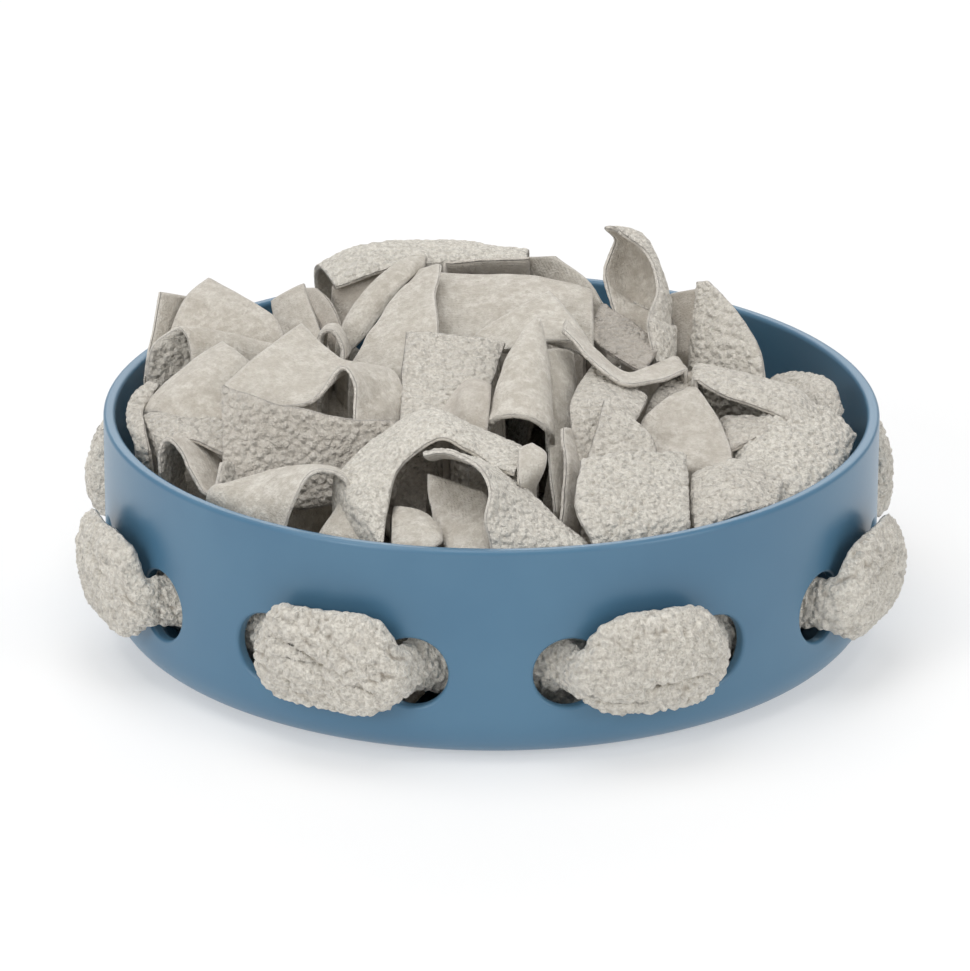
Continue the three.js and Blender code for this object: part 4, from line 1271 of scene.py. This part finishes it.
# Patterns in the materials, in cells or bands to a metre
PLASTIC_CLOUD = 22
PLASTIC_FAINT = 160
PLASTIC_GRAIN = 1500
WOOL = 620
TUFT_LUMPS = 420
NAP_BLOTCHES = 150
BROAD_TONE = 24
NAP_SPECKS = 420
FUZZ = 1300
KNIT_RIBS = 230


def plastic_paint():
    """Satin moulded plastic: a very fine grain, slight unevenness of tone and gloss."""
    paint = Paint("satin_plastic")
    place = paint.place()
    cloud = paint.noise(place, PLASTIC_CLOUD, 3)
    grain = paint.noise(place, PLASTIC_GRAIN, 2)
    faint = paint.noise(place, PLASTIC_FAINT, 2)
    deep, light = colour(75, 115, 143), colour(80, 120, 147)
    tone = paint.mix(paint.step(cloud, 0.3, 0.7), deep, light)
    bump = paint.node("ShaderNodeBump", {}, {
        "Strength": 0.12, "Distance": 0.0002, "Height": grain * 0.5 + faint * 0.5})
    shader = paint.node("ShaderNodeBsdfPrincipled", {}, {
        "Base Color": tone, "Roughness": 0.27 + cloud * 0.05 + grain * 0.05, "Normal": bump,
        "IOR": 1.5, "Specular IOR Level": 0.5})
    return paint.finish(shader)


def fleece_paint():
    """Double-faced fleece. The pile side is curly, painted paler on the tops of its tufts and
    darker between them as painted shade in the hollows, and darker again as painted shade where the
    wool and fuzz patterns that raise its bumps are low; the smooth side has fine ribs along the
    strip and a blotchy nap, with painted shade where the specks and fuzz that raise its bumps are
    low; the cut edge is pale. The mesh carries two attributes: weave, the place on the flat cloth
    in metres and the height of the face in millimetres, and marks, which are the pile side, the cut
    edge and the tone, which darkens a strip partly to its own greyer colour and partly as painted
    shade."""
    paint = Paint("fleece_cloth")
    place = paint.place()
    weave = paint.attribute("weave")
    pile, rim, dark = paint.parts(paint.attribute("marks"))
    height = paint.parts(weave)[2]
    wool = paint.noise(place, WOOL, 3, 0.6)
    lump = paint.node("ShaderNodeTexVoronoi", {"feature": "SMOOTH_F1"}, {
        "Vector": place, "Scale": TUFT_LUMPS, "Smoothness": 0.6})
    blotch = paint.noise(place, NAP_BLOTCHES, 5, 0.72)
    broad = paint.noise(place, BROAD_TONE, 2, 0.5)
    speck = paint.noise(place, NAP_SPECKS, 3, 0.6)
    fuzz = paint.noise(place, FUZZ, 2, 0.6)
    ribs = paint.node("ShaderNodeTexWave", {"wave_type": "BANDS", "bands_direction": "X"}, {
        "Vector": weave, "Scale": KNIT_RIBS, "Distortion": 2.2, "Detail": 2.0,
        "Detail Scale": 3.0})

    # Painted light and shade on the pile: the first colour is the lit tops of the tufts, the second
    # is painted shade in the hollows between them, and the third is painted shade in the low places
    # of the bump patterns, also used for the faint ribs
    lit_tuft_top, between, painted_shade_and_rib_colour = colour(243, 238, 227), colour(166, 155, 139), colour(176, 167, 153)
    tufts = paint.mix(paint.step(height, 0.35, 1.3), between, lit_tuft_top)
    # Painted shade where the wool and fuzz patterns, which also raise the bumps, are low
    tufts = paint.darkened(tufts, wool, 0.38, 0.6, 0.4, painted_shade_and_rib_colour)
    tufts = paint.darkened(tufts, fuzz, 0.35, 0.6, 0.25, painted_shade_and_rib_colour)
    worn, fresh = colour(200, 193, 181), colour(228, 223, 213)
    nap = paint.mix(paint.step(blotch, 0.36, 0.64), worn, fresh)
    # Painted shade where the specks and fuzz, which also raise the bumps, are low
    nap = paint.darkened(nap, speck, 0.36, 0.6, 0.5, painted_shade_and_rib_colour)
    nap = paint.darkened(nap, fuzz, 0.38, 0.6, 0.25, painted_shade_and_rib_colour)
    nap = paint.mix(ribs * 0.04, nap, painted_shade_and_rib_colour)
    even, cut, shade = colour(214, 209, 198), colour(232, 227, 218), colour(164, 153, 142)
    base = paint.mix(pile, nap, tufts)
    base = paint.mix(paint.step(broad, 0.35, 0.7) * 0.25, base, even)
    base = paint.mix(rim * 0.5, base, cut)
    # Painted shade: each strip is darkened towards the shade colour by its tone, partly its own
    # greyer colour and partly the shade it lies in; a tone below 0 paints it lighter
    base = paint.mix(dark, base, shade)
    relief = (pile * (wool + (1 - lump) * 1.7 + fuzz * 0.6)
              + (1 - pile) * (ribs * 0.04 + speck * 0.4 + fuzz * 0.35))
    bump = paint.node("ShaderNodeBump", {}, {
        "Strength": 1.0, "Distance": 0.0016, "Height": relief})
    shader = paint.node("ShaderNodeBsdfPrincipled", {}, {
        "Base Color": base, "Roughness": 0.92, "Normal": bump, "Specular IOR Level": 0.15,
        "Sheen Weight": 0.25, "Sheen Roughness": 0.6})
    return paint.finish(shader)


def floor_paint():
    """Pale studio floor, lit from within a little so that shadows on it stay faint."""
    paint = Paint("studio_floor")
    soft = paint.step(paint.noise(paint.place(), 3, 2), 0.3, 0.7, 0.985, 1.0)
    matt = paint.node("ShaderNodeBsdfDiffuse", {}, {"Color": (0.95, 0.95, 0.95, 1)})
    glow = paint.node("ShaderNodeEmission", {}, {"Color": (1, 1, 1, 1), "Strength": 1.02})
    return paint.finish(paint.node("ShaderNodeMixShader", {}, {0: soft * 0.4, 1: matt, 2: glow}))


# Studio

# Lights: name, place, aim, width and height, power in watts
LIGHTS = [
    ("overhead", (-0.3, -0.1, 2.0), (0, 0, 0.05), (1.8, 1.8), 21),
    ("front_left", (-1.5, -1.7, 1.1), (0, 0, 0.06), (0.9, 1.2), 16),
    ("front_right", (1.7, -1.3, 1.0), (0, 0, 0.06), (0.8, 1.2), 11),
    ("behind", (0.1, 2.3, 1.25), (0, 0, 0.06), (3.2, 1.0), 22),
]
WORLD_LIGHT = 0.42
FLOOR_HALF = 4.0


def lamp(name, place, aim, side, power):
    """Rectangular light that looks from its place to the point it is aimed at."""
    data = bpy.data.lights.new(name, "AREA")
    data.shape = "RECTANGLE"
    data.size, data.size_y = side
    data.energy = power
    light = bpy.data.objects.new(name, data)
    light.location = place
    to = np.array(aim, float) - np.array(place, float)
    level = math.hypot(to[0], to[1])
    light.rotation_euler = (math.atan2(level, -to[2]), 0, math.atan2(-to[0], to[1]))
    bpy.context.scene.collection.objects.link(light)


def studio():
    """Floor, soft lights and an even white surround."""
    corners = [(x * FLOOR_HALF, y * FLOOR_HALF, 0) for x, y in ((-1, -1), (1, -1), (1, 1), (-1, 1))]
    mesh = bpy.data.meshes.new("floor")
    mesh.from_pydata(corners, [], [(0, 1, 2, 3)])
    mesh.materials.append(floor_paint())
    floor = bpy.data.objects.new("floor", mesh)
    bpy.context.scene.collection.objects.link(floor)
    for light in LIGHTS:
        lamp(*light)
    world = bpy.data.worlds.new("surround")
    world.use_nodes = True
    back = world.node_tree.nodes["Background"]
    back.inputs["Color"].default_value = (1, 1, 1, 1)
    back.inputs["Strength"].default_value = WORLD_LIGHT
    scene = bpy.context.scene
    scene.world = world
    scene.view_settings.view_transform = "Standard"
    scene.view_settings.look = "None"


bowl_paint = plastic_paint()
cloth_paint = fleece_paint()
make_bowl(bowl_paint)
make_loops(cloth_paint)
make_strips(cloth_paint)
make_laid_strips(cloth_paint)
make_tucked_strips(cloth_paint)
studio()
